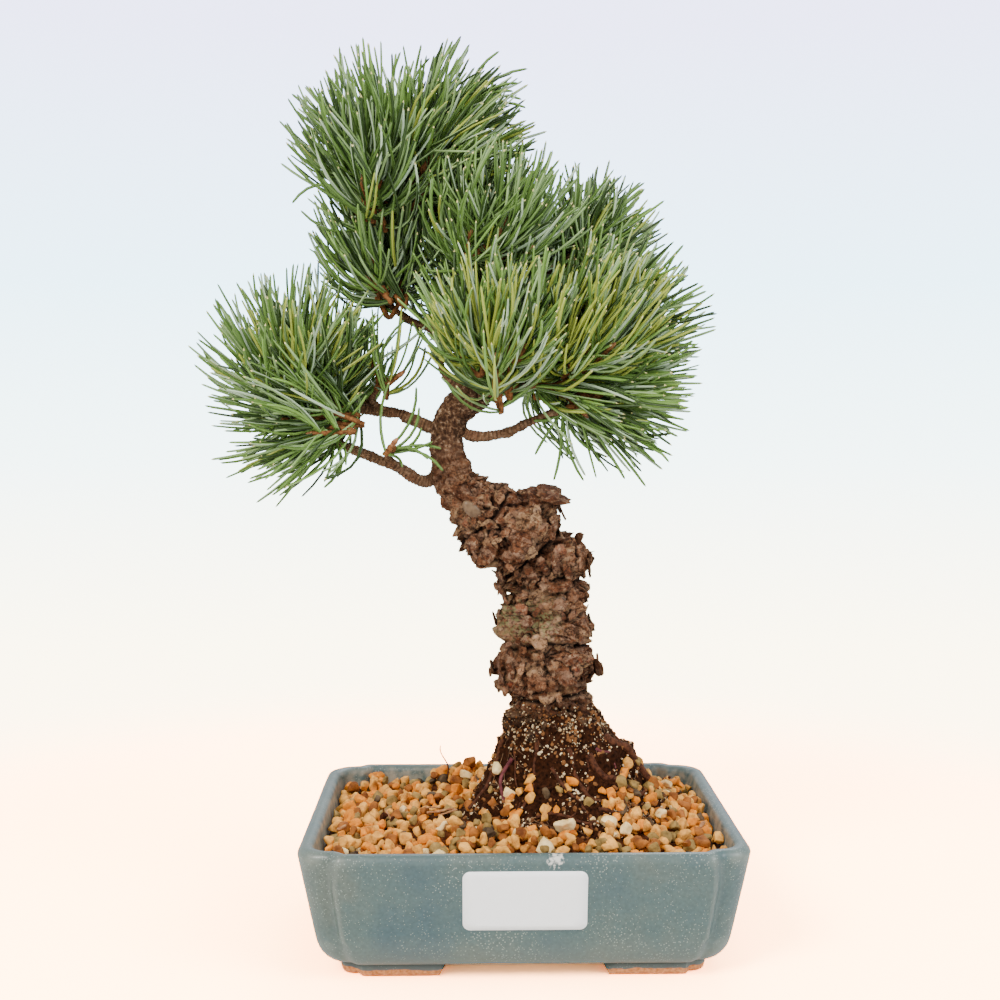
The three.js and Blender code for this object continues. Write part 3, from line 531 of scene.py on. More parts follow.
MOUND_MIDDLE = (18, 6)
MOUND_RADIUS = 47
MOUND_SHOULDER = 25
MOUND_SEAT = 49
SOIL_LEVEL = 81
ROOT_RIDGE = 5
ROOTS = ((-12, 1.5), (62, 0.8), (128, 0.8), (196, 0.7), (262, 0.6), (318, 0.9))
ROOT_SHARPNESS = 14
MOUND_HOLLOW = 1.6
COLLAR_RISE = 16
COLLAR_RADIUS = 13
MOUND_STEPS_AROUND = 460
MOUND_STEPS_OUT = 150
GRIT_FROM = 14


def root_ridge(bearing):
    """How far the main roots lift the soil round the mound, by bearing."""
    ridges = [rise * np.maximum(0, np.cos(bearing - math.radians(at))) ** ROOT_SHARPNESS
              for at, rise in ROOTS]
    return np.max(ridges, axis=0)


def from_mound(x, y):
    return np.hypot(x - MOUND_MIDDLE[0], y - MOUND_MIDDLE[1])


def round_mound(bearing, out):
    """The place at a bearing and a distance from the mound's middle."""
    return MOUND_MIDDLE[0] + out * np.cos(bearing), MOUND_MIDDLE[1] + out * np.sin(bearing)


def mound_height(x, y):
    bearing = np.arctan2(y - MOUND_MIDDLE[1], x - MOUND_MIDDLE[0])
    reach = from_mound(x, y) - ROOT_RIDGE * root_ridge(bearing)
    outer = np.clip((reach - MOUND_SHOULDER) / (MOUND_RADIUS - MOUND_SHOULDER), 0, 1.4) ** (1 / MOUND_HOLLOW)
    slope = SOIL_LEVEL - (SOIL_LEVEL - MOUND_SEAT) * outer
    return slope + COLLAR_RISE * smoothstep(from_mound(x, y), MOUND_SHOULDER + 3, COLLAR_RADIUS)


def crumbs(points):
    """The height of crumbly soil over its smooth slope."""
    height = 1.3 * lumps(points, 8, 21) + 1.0 * lumps(points, 3.6, 22)
    height += 1.1 * np.abs(lumps(points, 2.1, 23)) + 0.6 * lumps(points, 1.0, 24)
    return height


def unit(vectors):
    return vectors / np.maximum(np.linalg.norm(vectors, axis=-1, keepdims=True), 1e-9)


def off_slope(points):
    """The way in which crumbs stand off the mound."""
    return unit(points * (1, 1, 0) - (*MOUND_MIDDLE, 0)) * 0.6 + (0, 0, 0.8)


def copies(shape, faces, places, turns, sizes):
    """Copies of one shape, each turned by a matrix, scaled and moved."""
    points = np.einsum("nij,mj->nmi", turns, shape) * sizes[:, None, None] + places[:, None]
    shift = np.arange(len(places))[:, None, None] * len(shape)
    return points.reshape(-1, 3), [(rows[None] + shift).reshape(-1, rows.shape[1]) for rows in faces]


def random_turns(rng, count):
    turns, upper = np.linalg.qr(rng.normal(size=(count, 3, 3)))
    turns *= np.sign(np.einsum("nii->ni", upper))[:, None]
    turns[np.linalg.det(turns) < 0, :, 0] *= -1
    return turns


def tinted(name, low, high, size, roughness=0.85, relief=0.3, gloss=0.1):
    """A mineral or wood surface that wanders between two colours in patches of a size in millimetres."""
    made, tree, shader = surface(name, Roughness=roughness, Specular_IOR_Level=gloss)
    place = add(tree, "TexCoord").outputs["Object"]
    patches = add(tree, "TexNoise", {"Vector": place, "Scale": 1000 / size, "Detail": 5.0, "Roughness": 0.65})
    tone = add(tree, "ValToRGB", {"Fac": patches}, stops=[(0.32, low), (0.68, high)])
    pits = add(tree, "TexNoise", {"Vector": place, "Scale": 1000 / (size / 4), "Detail": 3.0})
    bump = add(tree, "Bump", {"Height": pits, "Strength": relief, "Distance": 0.0003})
    feed(tree, shader, {"Base Color": tone, "Normal": bump})
    return made


# Decayed fir needles, peat and clay of the old mix, matt and nearly black in its hollows.
old_soil = tinted("crumbled_peat_soil", "#060201", "#3a1f10", 1.6, 0.95, 1.0, 0.05)

reach = np.linspace(9, MOUND_RADIUS + 3, MOUND_STEPS_OUT)
bearing = np.linspace(0, 2 * math.pi, MOUND_STEPS_AROUND, endpoint=False)
ring_x, ring_y = round_mound(bearing, reach[:, None])
mound_points = np.stack([ring_x, ring_y, mound_height(ring_x, ring_y)], -1).reshape(-1, 3)
rise = crumbs(mound_points)
mound_points += rise[:, None] * off_slope(mound_points)
mound_points[:, 2] = np.maximum(mound_points[:, 2], FLOOR_TOP + 20)
mound_faces = [rows[:, ::-1] for rows in capped(MOUND_STEPS_OUT, MOUND_STEPS_AROUND)]
mound = piece("root_soil", mound_points, mound_faces, [old_soil])
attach(mound, "root")
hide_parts("root_mound")

golden = (1 + math.sqrt(5)) / 2
grit_shape = unit(np.array([(a, b * golden, 0) for a in (-1, 1) for b in (-1, 1)]
                           + [(0, a, b * golden) for a in (-1, 1) for b in (-1, 1)]
                           + [(b * golden, 0, a) for a in (-1, 1) for b in (-1, 1)], float))
grit_faces = []
for i in range(12):
    for j in range(i + 1, 12):
        for k in range(j + 1, 12):
            corner = grit_shape[[i, j, k]]
            if max(np.linalg.norm(corner[a] - corner[b]) for a, b in ((0, 1), (1, 2), (2, 0))) < 1.1:
                outward = np.dot(np.cross(corner[1] - corner[0], corner[2] - corner[0]), corner.sum(0)) > 0
                grit_faces.append((i, j, k) if outward else (i, k, j))
grit_faces = np.array(grit_faces)

# Grit of the former mix: pale dusty pumice and brown baked clay, both dull and rough.
rng = np.random.default_rng(5)
for grit_name, low, high, count, small, large in (
        ("pale_grit", "#8b6d4a", "#e6d2aa", 4400, 0.2, 1.0),
        ("brown_grit", "#341709", "#94643a", 3400, 0.4, 1.5)):
    out = GRIT_FROM + (MOUND_RADIUS - 12) * rng.random(count) ** 0.9
    x, y = round_mound(rng.random(count) * 2 * math.pi, out)
    places = np.stack([x, y, mound_height(x, y)], 1)
    places = places[lumps(places, 7, 22) + 0.6 * lumps(places, 2, 23) > rng.random(count) - 0.55]
    count = len(places)
    places += crumbs(places)[:, None] * off_slope(places)
    grit_points, faces = copies(grit_shape * (1, 0.8, 0.65), [grit_faces], places, random_turns(rng, count),
                                small + (large - small) * rng.random(count) ** 2)
    grit = piece(grit_name, grit_points, faces, [tinted(grit_name + "_clay", low, high, 6)], smooth=False)
    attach(grit, "root")


# The roots
# Thin roots laid bare in the old soil: brown ones with papery skin, some purplish, with hair-thin fibres
# and bits of twig between them. They leave the foot of the trunk and dive into the gravel.

LAID_ROOTS = 16
FIBRES = 90


def frames(line):
    """The tangent and two square directions at each point of a line."""
    tangents = unit(np.gradient(line, axis=0))
    side = np.array([1.0, 0, 0])
    sides = []
    for tangent in tangents:
        side = unit(side - tangent * (side @ tangent))
        sides.append(side)
    sides = np.array(sides)
    return tangents, sides, np.cross(tangents, sides)


def bearings(count):
    return np.arange(count) * 2 * math.pi / count


def spokes(across, other, angles):
    """The directions outward from a line, one row a ring."""
    return across[:, None] * np.cos(angles)[:, None] + other[:, None] * np.sin(angles)[:, None]


def tube(line, radii, sides):
    """A closed tube round a line; the radii are one a ring or one a corner."""
    line = np.asarray(line, float)
    across, other = frames(line)[1:]
    radii = np.broadcast_to(np.asarray(radii, float).reshape(len(line), -1), (len(line), sides))[..., None]
    points = line[:, None] + radii * spokes(across, other, bearings(sides))
    return points.reshape(-1, 3), capped(len(line), sides)


def joined(parts):
    """Several meshes, each its points and face rows, as one."""
    points = []
    faces = {}
    first = 0
    for some, rows in parts:
        points.append(some)
        for each in rows:
            faces.setdefault(each.shape[1], []).append(each + first)
        first += len(some)
    return np.concatenate(points), [np.concatenate(each) for each in faces.values()]


def over_mound(x, y, lift):
    """Points that lie on the soil, lifted off it by some millimetres."""
    spots = np.stack([x, y, mound_height(x, y)], -1)
    return spots + (0, 0, 1) * np.reshape(crumbs(spots) * 0.8 + lift, (-1, 1))


def wander(points, size, seed):
    """Smooth noise in each of the three directions."""
    return np.stack([lumps(points + (k * 50, 0, 0), size, seed) for k in range(3)], 1)


def crossing(rng, start, stop, bend, lift, steps=36):
    """A wandering line over the soil, between two places given as bearing and distance."""
    share = np.linspace(0, 1, steps)
    angle = start[0] + (stop[0] - start[0]) * share + bend * np.sin(math.pi * share)
    line = over_mound(*round_mound(angle, start[1] + (stop[1] - start[1]) * share), lift)
    kernel = np.ones(5) / 5
    smooth = np.stack([np.convolve(np.pad(line[:, k], 2, "edge"), kernel, "valid") for k in range(3)], 1)
    return smooth + wander(smooth, 7, 31) * 0.8


# Root skins: matt and flaking on old roots, smoother and purplish on young ones, pale and dry on fibres.
root_skin = tinted("papery_root_skin", "#1f0e07", "#5c3623", 1.6, 0.8, 0.9)
purple_skin = tinted("young_purple_root_skin", "#36161a", "#713b3c", 2.2, 0.6, 0.3)
fibre_skin = tinted("dry_fibre_skin", "#38241a", "#7f6247", 4, 0.9, 0.1)
rng = np.random.default_rng(11)
laid = {"brown": [], "purple": [], "fibre": []}
for number in range(LAID_ROOTS):
    angle = rng.random() * 2 * math.pi
    kind = "purple" if number % 5 == 0 else "brown"
    line = crossing(rng, (angle, 18 + 8 * rng.random()), (angle + rng.normal() * 0.5, 40 + 8 * rng.random()),
                    rng.normal() * 0.25, 0.1)
    thick = 0.4 + 0.6 * rng.random()
    laid[kind].append(tube(line, thick * np.linspace(1, 0.5, len(line)), 8))
for number in range(FIBRES):
    angle = rng.random() * 2 * math.pi
    out = 17 + 30 * rng.random()
    span = 0.1 + 0.35 * rng.random()
    line = crossing(rng, (angle, out), (angle + span * rng.choice((-1, 1)), out + rng.normal() * 6),
                    rng.normal() * 0.2, 0.5, 14)
    laid["fibre"].append(tube(line, np.full(len(line), 0.1 + 0.12 * rng.random()), 5))
for shown in (((-1.75, 29), (-1.32, 43), 0.14, "brown", 0.8), ((-1.9, 40), (-1.25, 41), 0.1, "brown", 0.9),
              ((-2.5, 27), (-2.2, 38), -0.2, "purple", 1.0), ((-1.2, 38), (-0.9, 45), 0.1, "brown", 1.1),
              ((-1.15, 26), (-0.42, 40), -0.1, "brown", 1.7), ((-1.5, 25), (-0.75, 43), -0.1, "brown", 1.2),
              ((-0.6, 22), (-0.2, 45), 0.1, "brown", 2.4), ((-2.9, 26), (-2.75, 44), 0.1, "brown", 1.2)):
    line = crossing(rng, shown[0], shown[1], shown[2], 0.6)
    laid[shown[3]].append(tube(line, shown[4] * np.linspace(1, 0.6, len(line)), 10))
for kind, skin in (("brown", root_skin), ("purple", purple_skin), ("fibre", fibre_skin)):
    roots = piece(f"{kind}_roots", *joined(laid[kind]), [skin])
    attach(roots, "root")


# The gravel
# Baked clay gravel of four to six millimetres, tan to orange with grey, olive and dark grains and some
# cream pumice. It is heaped loosely from the pot's walls to the mound.

GRAVEL_AT_WALL = 47.5
GRAVEL_AT_MOUND = 54
GRAVEL_SLOPE = 34
GRAVEL_HEAP = 1.6
HEAP_SPACING = 24
GRAIN_SPACING = 5.2
SIDE_HEAP = 8
SIDE_HEAP_MIDDLE = (-28, 36)
SIDE_HEAP_SPREAD = 17
BARE_SOIL = ((-16, -12), (24, -37))
BARE_SOIL_REACH = 12
BED_CLEARANCE = 0.4
BED_BELOW_GRAINS = 2.9
GRAVEL_CORNER = 6
SCATTERED_GRAINS = 210
GRAIN_SHAPES = 14
PEBBLE_CUTS = 11
GRID_ROWS = 48
GRID_COLUMNS = 46


def gravel_height(x, y):
    turn = 2 * math.pi / HEAP_SPACING
    heap = np.sin(turn * x + y / 9) * np.sin(turn * y - x / 14)
    from_side_heap = np.hypot(x - SIDE_HEAP_MIDDLE[0], y - SIDE_HEAP_MIDDLE[1]) / SIDE_HEAP_SPREAD
    heaps = SIDE_HEAP * np.exp(-from_side_heap ** 2) + GRAVEL_HEAP * heap
    slope = smoothstep(from_mound(x, y), MOUND_RADIUS, MOUND_RADIUS + GRAVEL_SLOPE)
    return heaps + GRAVEL_AT_MOUND + (GRAVEL_AT_WALL - GRAVEL_AT_MOUND) * slope


def pebble(rng, steps=5):
    """A rounded cube, broken flat by a few planes."""
    share = np.linspace(-1, 1, steps + 1)
    a, b = (each.ravel() for each in np.meshgrid(share, share, indexing="ij"))
    sides = []
    for axis in range(3):
        for sign in (-1, 1):
            corner = np.stack([np.full(len(a), sign), a, b], 1)
            sides.append(np.roll(corner, axis, 1))
    shape, where = np.unique(np.round(np.concatenate(sides), 6), axis=0, return_inverse=True)
    where = where.ravel()
    i, j = np.meshgrid(np.arange(steps), np.arange(steps), indexing="ij")
    square = (i * (steps + 1) + j).ravel()
    square = np.stack([square, square + steps + 1, square + steps + 2, square + 1], 1)
    faces = []
    for number in range(6):
        rows = where[square + number * (steps + 1) ** 2]
        faces.append(rows if number % 2 else rows[:, ::-1])
    shape = unit(shape) * (0.55 + 0.45 / np.max(np.abs(unit(shape)), axis=1, keepdims=True))
    for cut in range(PEBBLE_CUTS):
        normal = unit(rng.normal(size=3))
        beyond = shape @ normal - (0.6 + 0.3 * rng.random())
        shape -= np.maximum(beyond, 0)[:, None] * normal
    shape *= 1 + 0.09 * lumps(shape + rng.random(3) * 50, 0.5, 43)[:, None]
    return shape * (1, 0.74 + 0.22 * rng.random(), 0.62 + 0.25 * rng.random()), np.concatenate(faces)


inner_inset = wall_inset(GRAVEL_AT_WALL) + WALL
bed_rings = []
for inset, z in ((inner_inset + 6, FLOOR_TOP + 8), (inner_inset + 1.5, GRAVEL_AT_WALL - 12),
                 (inner_inset + BED_CLEARANCE, GRAVEL_AT_WALL - 2.6)):
    bed_rings.append(np.insert(pot_outline(inset, RIM_SOFTNESS), 2, z, axis=1))
for share in np.linspace(1, 0.02, 34)[1:]:
    flat = pot_outline(inner_inset + BED_CLEARANCE, RIM_SOFTNESS) * share
    flat = flat + np.array(MOUND_MIDDLE) * (1 - share)
    height = gravel_height(flat[:, 0], flat[:, 1]) - BED_BELOW_GRAINS
    bed_rings.append(np.insert(flat, 2, height, axis=1))
bed_points = np.concatenate(bed_rings)
bed_points[3 * ring_size:, 2] += 0.7 * lumps(bed_points[3 * ring_size:], 3, 41)
# A dark matt sheet under the top grains: painted shade of the deeper gravel in the gaps between them.
bed = piece("gravel_below", bed_points, capped(len(bed_rings), ring_size),
            [tinted("painted_gap_shade_clay", "#241005", "#5e3215", 4, 0.9, 0.8)])
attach(bed, "root")
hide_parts("gravel_bed")


def inside_pot(x, y, margin):
    """Whether a place lies within the pot's walls."""
    x, y = np.abs(x), np.abs(y)
    half_width = POT_WIDTH / 2 - inner_inset - margin
    half_depth = POT_DEPTH / 2 - inner_inset - margin
    shrink = 1 - inner_inset / CORNER_TAPER
    step = PANEL_STEP * shrink
    in_panel = x < half_width - PANEL_STOP * shrink
    fits = (x < half_width) & (y < half_depth - step) | in_panel & (y < half_depth)
    corner = np.hypot(np.maximum(x - half_width + GRAVEL_CORNER, 0),
                      np.maximum(y - half_depth + step + GRAVEL_CORNER, 0))
    return fits & ((corner < GRAVEL_CORNER) | in_panel)


rng = np.random.default_rng(17)
grid_x, grid_y = np.meshgrid((np.arange(GRID_COLUMNS) - GRID_COLUMNS / 2) * GRAIN_SPACING,
                             (np.arange(GRID_ROWS) - GRID_ROWS / 2) * GRAIN_SPACING * 0.866)
grid_x = grid_x + (np.arange(GRID_ROWS) % 2)[:, None] * GRAIN_SPACING / 2
layers = []
for lift, jitter, kept in ((-0.9, 1.0, 1.0), (1.7, 1.5, 0.45)):
    x = (grid_x + rng.normal(size=grid_x.shape) * jitter * 0.6).ravel()
    y = (grid_y + rng.normal(size=grid_x.shape) * jitter * 0.6).ravel()
    away = from_mound(x, y)
    bearing = np.arctan2(y - MOUND_MIDDLE[1], x - MOUND_MIDDLE[0])
    edge_of_mound = MOUND_RADIUS - 7 + 5 * np.sin(3 * bearing + 1)
    kept_here = inside_pot(x, y, 1.9) & (away > edge_of_mound) & (rng.random(len(x)) < kept)
    z = np.maximum(gravel_height(x, y), mound_height(x, y) * (away < MOUND_RADIUS)) + lift
    layers.append(np.stack([x, y, z + rng.normal(size=len(x)) * 0.55], 1)[kept_here])
scattered = rng.random((SCATTERED_GRAINS, 2)) * (2 * math.pi, 1)
x, y = round_mound(scattered[:, 0], 26 + 18 * np.sqrt(scattered[:, 1]))
layers.append(np.stack([x, y, mound_height(x, y) + 1.2], 1))
grain_places = np.concatenate(layers)
for bare_x, bare_y in BARE_SOIL:
    from_middle = np.hypot(grain_places[:, 0] - bare_x, grain_places[:, 1] - bare_y)
    grain_places = grain_places[(from_middle > BARE_SOIL_REACH) | (rng.random(len(grain_places)) < 0.3)]
grain_sizes = 2.0 + 1.7 * rng.random(len(grain_places)) ** 1.3

# Where larger lumps of pumice lie, in front and round the mound, with their half widths.
LARGE_PUMICE = ((-9.8, -8, 3.6), (17.4, -39, 4.6), (35.8, -33, 3.8), (8.9, -55, 4.6), (-34.8, -55, 3.9),
                (69, 24, 3.0), (66, 6, 3.1), (-24, 24, 3.0), (43, -38, 3.0), (60, -22, 2.8))
GRAINS = (
    ("tan_grains", "#94581c", "#f4b456", 0.42), ("orange_grains", "#9c4e0c", "#f0982e", 0.2),
    ("brown_grains", "#5a2f10", "#a56428", 0.16), ("olive_grains", "#5b4620", "#a08148", 0.15),
    ("dark_grains", "#2b1e12", "#63503a", 0.045), ("cream_pumice", "#c9a263", "#fae0a4", 0.025))
kinds = rng.choice(len(GRAINS), len(grain_places), p=[grain[3] for grain in GRAINS])
for x, y, size in LARGE_PUMICE:
    nearest = np.argmin(np.hypot(grain_places[:, 0] - x, grain_places[:, 1] - y) - grain_places[:, 2])
    kinds[nearest] = len(GRAINS) - 1
    grain_sizes[nearest] = size
    grain_places[nearest] = (x, y, max(gravel_height(x, y), mound_height(x, y)) + 2.2)
# Baked clay is matt and mottled, and so is pumice, which is much paler.
shapes = [pebble(rng) for number in range(GRAIN_SHAPES)]
shape_of = rng.integers(0, len(shapes), len(grain_places))
for kind, (grain_name, low, high, _) in enumerate(GRAINS):
    grains = []
    for number, (shape, faces) in enumerate(shapes):
        chosen = (kinds == kind) & (shape_of == number)
        if chosen.any():
            turns = random_turns(rng, chosen.sum())
            grains.append(copies(shape, [faces], grain_places[chosen], turns, grain_sizes[chosen]))
    made = piece(grain_name, *joined(grains), [tinted(grain_name + "_clay", low, high, 5, 0.75, 1.0, 0.15)])
    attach(made, "root")


# The bits on the gravel
# Dry bits of twig, chips of old bark and one curled root hair, which fell there when the tree was potted
# and lie loose on the top grains.

TOP_OF_GRAINS = 3.2
BITS_OF_TWIG = (
    (-35, -12, 0.1, 12, 0.5), (-32, -15, 0.5, 9, 0.4), (-38, -9, -0.35, 7, 0.4), (-58, -3, 1.9, 8, 0.5),
    (-77, -20, 0.9, 5, 0.7), (77, -24, 1.3, 7, 0.8), (40, 52, 2.2, 9, 0.5), (-20, 58, 0.3, 8, 0.4))
BARK_CHIPS = ((-60, -6, 2.9), (-56, -9, 1.7), (50, -50, 1.6), (-8, 60, 2.2), (72, 40, 1.9))
ROOT_HAIR_FOOT = (-33, 33)
ROOT_HAIR_HEIGHT = 15
fallen = []
for x, y, turn, length, thick in BITS_OF_TWIG:
    along = np.linspace(-0.5, 0.5, 12) * length
    line = np.stack([x + along * math.cos(turn), y + along * math.sin(turn),
                     gravel_height(x, y) + TOP_OF_GRAINS + 0.12 * along], 1)
    line += wander(line, 4, 71) * 0.5
    fallen.append(tube(line, thick * (1 + 0.25 * lumps(line, 1.2, 72)), 8))
climb = np.linspace(0, 1, 20)
x, y = ROOT_HAIR_FOOT
hair = np.stack([x + 1.3 * np.sin(5.5 * climb) - 2 * climb, y + 0.8 * np.sin(4 * climb),
                 gravel_height(x, y) + ROOT_HAIR_HEIGHT * climb], 1)
hairs = tube(hair, 0.42 - 0.2 * climb, 6)
rng = np.random.default_rng(73)
chip_shape, chip_faces = pebble(rng)
chips = np.array([(x, y, gravel_height(x, y) + TOP_OF_GRAINS) for x, y, size in BARK_CHIPS])
chips = copies(chip_shape * (1, 0.8, 0.45), [chip_faces], chips, random_turns(rng, len(chips)),
               np.array([size for x, y, size in BARK_CHIPS]))
# Split twig is streaked pale and brown; fallen bark is dull and almost black.
for bit_name, made, skin in (
        ("fallen_twigs", joined(fallen), tinted("split_dry_twig", "#6b3a22", "#b98a5e", 1.5, 0.8, 0.3)),
        ("root_hair", hairs, root_skin),
        ("bark_chips", chips, tinted("fallen_bark", "#1f0f08", "#55301e", 1.5, 0.9, 1.0))):
    bits = piece(bit_name, *made, [skin])
    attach(bits, "root")


# The trunk
# A white pine stem with bulging growth between tight necks. Its old bark has broken into thick flaky
# plates; above the last bend it is younger, smoother and ringed.

TRUNK_LINE = [(15, 6, 81), (13, 6, 103), (11, 7, 125), (12, 8, 147), (6, 7, 165), (-10, 5, 179),
              (-25, 4, 194), (-32, 5, 212), (-29, 6, 227), (-18, 6, 237)]
TRUNK_RADIUS = 18.5
TRUNK_TIP_RADIUS = 7
KNUCKLES = ((0.1, -2.6, 0.034, 0.03), (0.165, 3.4, 0.03, 0.042), (0.222, -1.2, 0.014, 0.016),
            (0.275, 1.6, 0.036, 0.042), (0.352, -1.8, 0.014, 0.014), (0.4, 3.2, 0.026, 0.034),
            (0.452, -3.0, 0.014, 0.014), (0.49, 5.0, 0.024, 0.07))
NECKS = (0.112, 0.225, 0.352, 0.452, 0.585)
OVERHANG_AT = 0.5
OVERHANG_DEPTH = 7.5
OVERHANG_LENGTH = 0.034
ROOT_FLARE = 5.5
BARK_WAVE = 0.05
TRUNK_RINGS = 404
TRUNK_SIDES = 240
PLATE_SIZE = 6.5
SCALE_SIZE = 2.7
LEDGE = 0.75
BARK_STRETCH = 1.25
MEAN_RADIUS = 17
OLD_BARK_TO = 0.62
YOUNG_BARK_FROM = 0.84
CREASE_WIDTH = 0.0055
LICHEN_HEIGHT = 139
LICHEN_REACH = 10


def spline(knots, shares):
    """Points of a smooth curve through the knots, at shares of its run from 0 to 1."""
    knots = np.asarray(knots, float)
    ends = np.concatenate([[2 * knots[0] - knots[1]], knots, [2 * knots[-1] - knots[-2]]])
    run = np.asarray(shares, float) * (len(knots) - 1)
    first = np.minimum(run.astype(int), len(knots) - 2)
    w = (run - first)[:, None]
    before, start, stop, after = (ends[first + k] for k in range(4))
    leave = (stop - before) / 2
    arrive = (after - start) / 2
    return ((2 * w ** 3 - 3 * w ** 2 + 1) * start + (w ** 3 - 2 * w ** 2 + w) * leave
            + (3 * w ** 2 - 2 * w ** 3) * stop + (w ** 3 - w ** 2) * arrive)


def trunk_radius(t, angle):
    radius = TRUNK_RADIUS - 2.5 * t
    radius += (TRUNK_TIP_RADIUS + 2 * (1 - t) - radius) * smoothstep(t, 0.5, 0.74)
    for at, swell, below, above in KNUCKLES:
        radius = radius + swell * np.exp(-((t - at) / np.where(t < at, below, above)) ** 2)
    under = np.exp(-((t - OVERHANG_AT) / OVERHANG_LENGTH) ** 2)
    radius = radius - OVERHANG_DEPTH * under * np.maximum(0, -np.cos(angle)) ** 2
    radius = radius + ROOT_FLARE * np.exp(-t / 0.05) * (0.6 + 0.7 * root_ridge(angle))
    wave = np.sin(3 * angle + 40 * t) * np.sin(5 * angle - 57 * t + 1) + 0.5 * np.sin(7 * angle + 95 * t)
    return radius * (1 + BARK_WAVE * wave)


def nearest_cells(points, seeds):
    """For each point its nearest seed, and how far it is from the border with the next one."""
    tree = KDTree(len(seeds))
    for number, seed in enumerate(seeds):
        tree.insert(seed, number)
    tree.balance()
    owners = np.empty(len(points), int)
    margins = np.empty(len(points))
    for number, point in enumerate(points):
        (_, owner, near), (_, _, far) = tree.find_n(point, 2)
        owners[number] = owner
        margins[number] = far - near
    return owners, margins


def plated(points, flat, count, rng, warp, lean, gap):
    """Broken bark: a height and a tone for each plate, and the cracks of a width between them."""
    seeds = flat[rng.choice(len(flat), count, replace=False)]
    warped = flat + np.stack([
        lumps(points + (k * 90, 0, 0), 8, 51) * warp + lumps(points + (0, k * 90, 0), 2.6, 52) * warp * 0.45
        for k in range(3)], 1)
    owners, margins = nearest_cells(warped, seeds)
    tilts = rng.normal(size=(count, 3)) * lean
    crack = 1 - smoothstep(margins, gap * 0.15, gap)
    height = rng.random(count)[owners] + np.sum(tilts[owners] * (warped - seeds[owners]), axis=1)
    return height, crack, rng.random(count)[owners]


def ledges(height, step):
    """A height broken into steps with short steep risers, like layered flakes."""
    whole = np.floor(height / step)
    return (whole + smoothstep(height / step - whole, 0, 0.28)) * step


# Pine bark: old plates weather from red-brown to grey on their faces, with green-grey lichen in places;
# young bark is brown, mottled with dark scars. Cracks, gaps, hollows and the undersides of loose plates
# are darkened with painted shade, and convex edges are lightened with painted highlight.
bark, tree, shader = surface("weathered_pine_bark", Roughness=0.85, Specular_IOR_Level=0.12)
place = add(tree, "TexCoord").outputs["Object"]
plate, crack, age, lichen = (add(tree, "Attribute", attribute_name=each).outputs["Fac"]
                             for each in ("plate", "crack", "age", "lichen"))
old_tone = add(tree, "ValToRGB", {"Fac": plate}, stops=[
    (0.0, "#502815"), (0.3, "#784a2f"), (0.55, "#926243"), (0.8, "#b48c66"), (1.0, "#8c4328")])
blotch = add(tree, "TexNoise", {"Vector": place, "Scale": 1000 / 2.4, "Detail": 6.0, "Roughness": 0.75})
for start, stop, most, tone in ((0.54, 0.68, 1.0, "#c8a583"), (0.48, 0.38, 0.85, "#2e1208")):
    share = add(tree, "MapRange", {"Value": blotch, "From Min": start, "From Max": stop, "To Max": most})
    old_tone = add(tree, "MixRGB", {"Fac": share, "Color1": old_tone, "Color2": tone})
young_tone = add(tree, "TexNoise", {"Vector": place, "Scale": 1000 / 2.0, "Detail": 6.0, "Roughness": 0.7})
young_tone = add(tree, "ValToRGB", {"Fac": young_tone}, stops=[
    (0.42, "#22120a"), (0.54, "#563c29"), (0.68, "#a38a70")])
lighter = add(tree, "Math", {0: plate, 1: 0.5}, operation="MULTIPLY")
scar = add(tree, "TexVoronoi", {"Vector": place, "Scale": 1000 / 1.8})
scar = add(tree, "MapRange", {"Value": scar, "From Min": 0.3, "From Max": 0.16, "To Max": 0.7})
for share, tone in ((lighter, "#6f513a"), (scar, "#2a180e")):
    young_tone = add(tree, "MixRGB", {"Fac": share, "Color1": young_tone, "Color2": tone})
skin = add(tree, "MixRGB", {"Fac": age, "Color1": young_tone, "Color2": old_tone})
bent = add(tree, "TexNoise", {"Vector": place, "Scale": 1000 / 4, "Detail": 6.0, "Roughness": 0.65})
bent = add(tree, "MixRGB", {"Fac": 0.007, "Color1": place, "Color2": bent.outputs["Color"]})
bent = add(tree, "Mapping", {"Vector": bent, "Scale": (1.0, 1.0, 1.9)})
flakes = add(tree, "TexVoronoi", {"Vector": bent, "Scale": 1000 / 3.6}).outputs["Color"]
flakes = add(tree, "SeparateXYZ", {"Vector": flakes})
flake_edges = add(tree, "TexVoronoi", {"Vector": bent, "Scale": 1000 / 3.6}, feature="DISTANCE_TO_EDGE")
broken = add(tree, "TexNoise", {"Vector": place, "Scale": 1000 / 5, "Detail": 4.0})
broken = add(tree, "MapRange", {"Value": broken, "From Min": 0.46, "From Max": 0.58})
broken = add(tree, "Math", {0: age, 1: broken}, operation="MULTIPLY")
flat_layers = add(tree, "Mapping", {"Vector": bent, "Scale": (1.0, 1.0, 1.6)})
layer = add(tree, "TexNoise", {"Vector": flat_layers, "Scale": 1000 / 2.2, "Detail": 7.0, "Roughness": 0.7})
bend = add(tree, "NewGeometry").outputs["Pointiness"]
growth = add(tree, "TexNoise", {"Vector": place, "Scale": 1000 / 1.6, "Detail": 5.0})
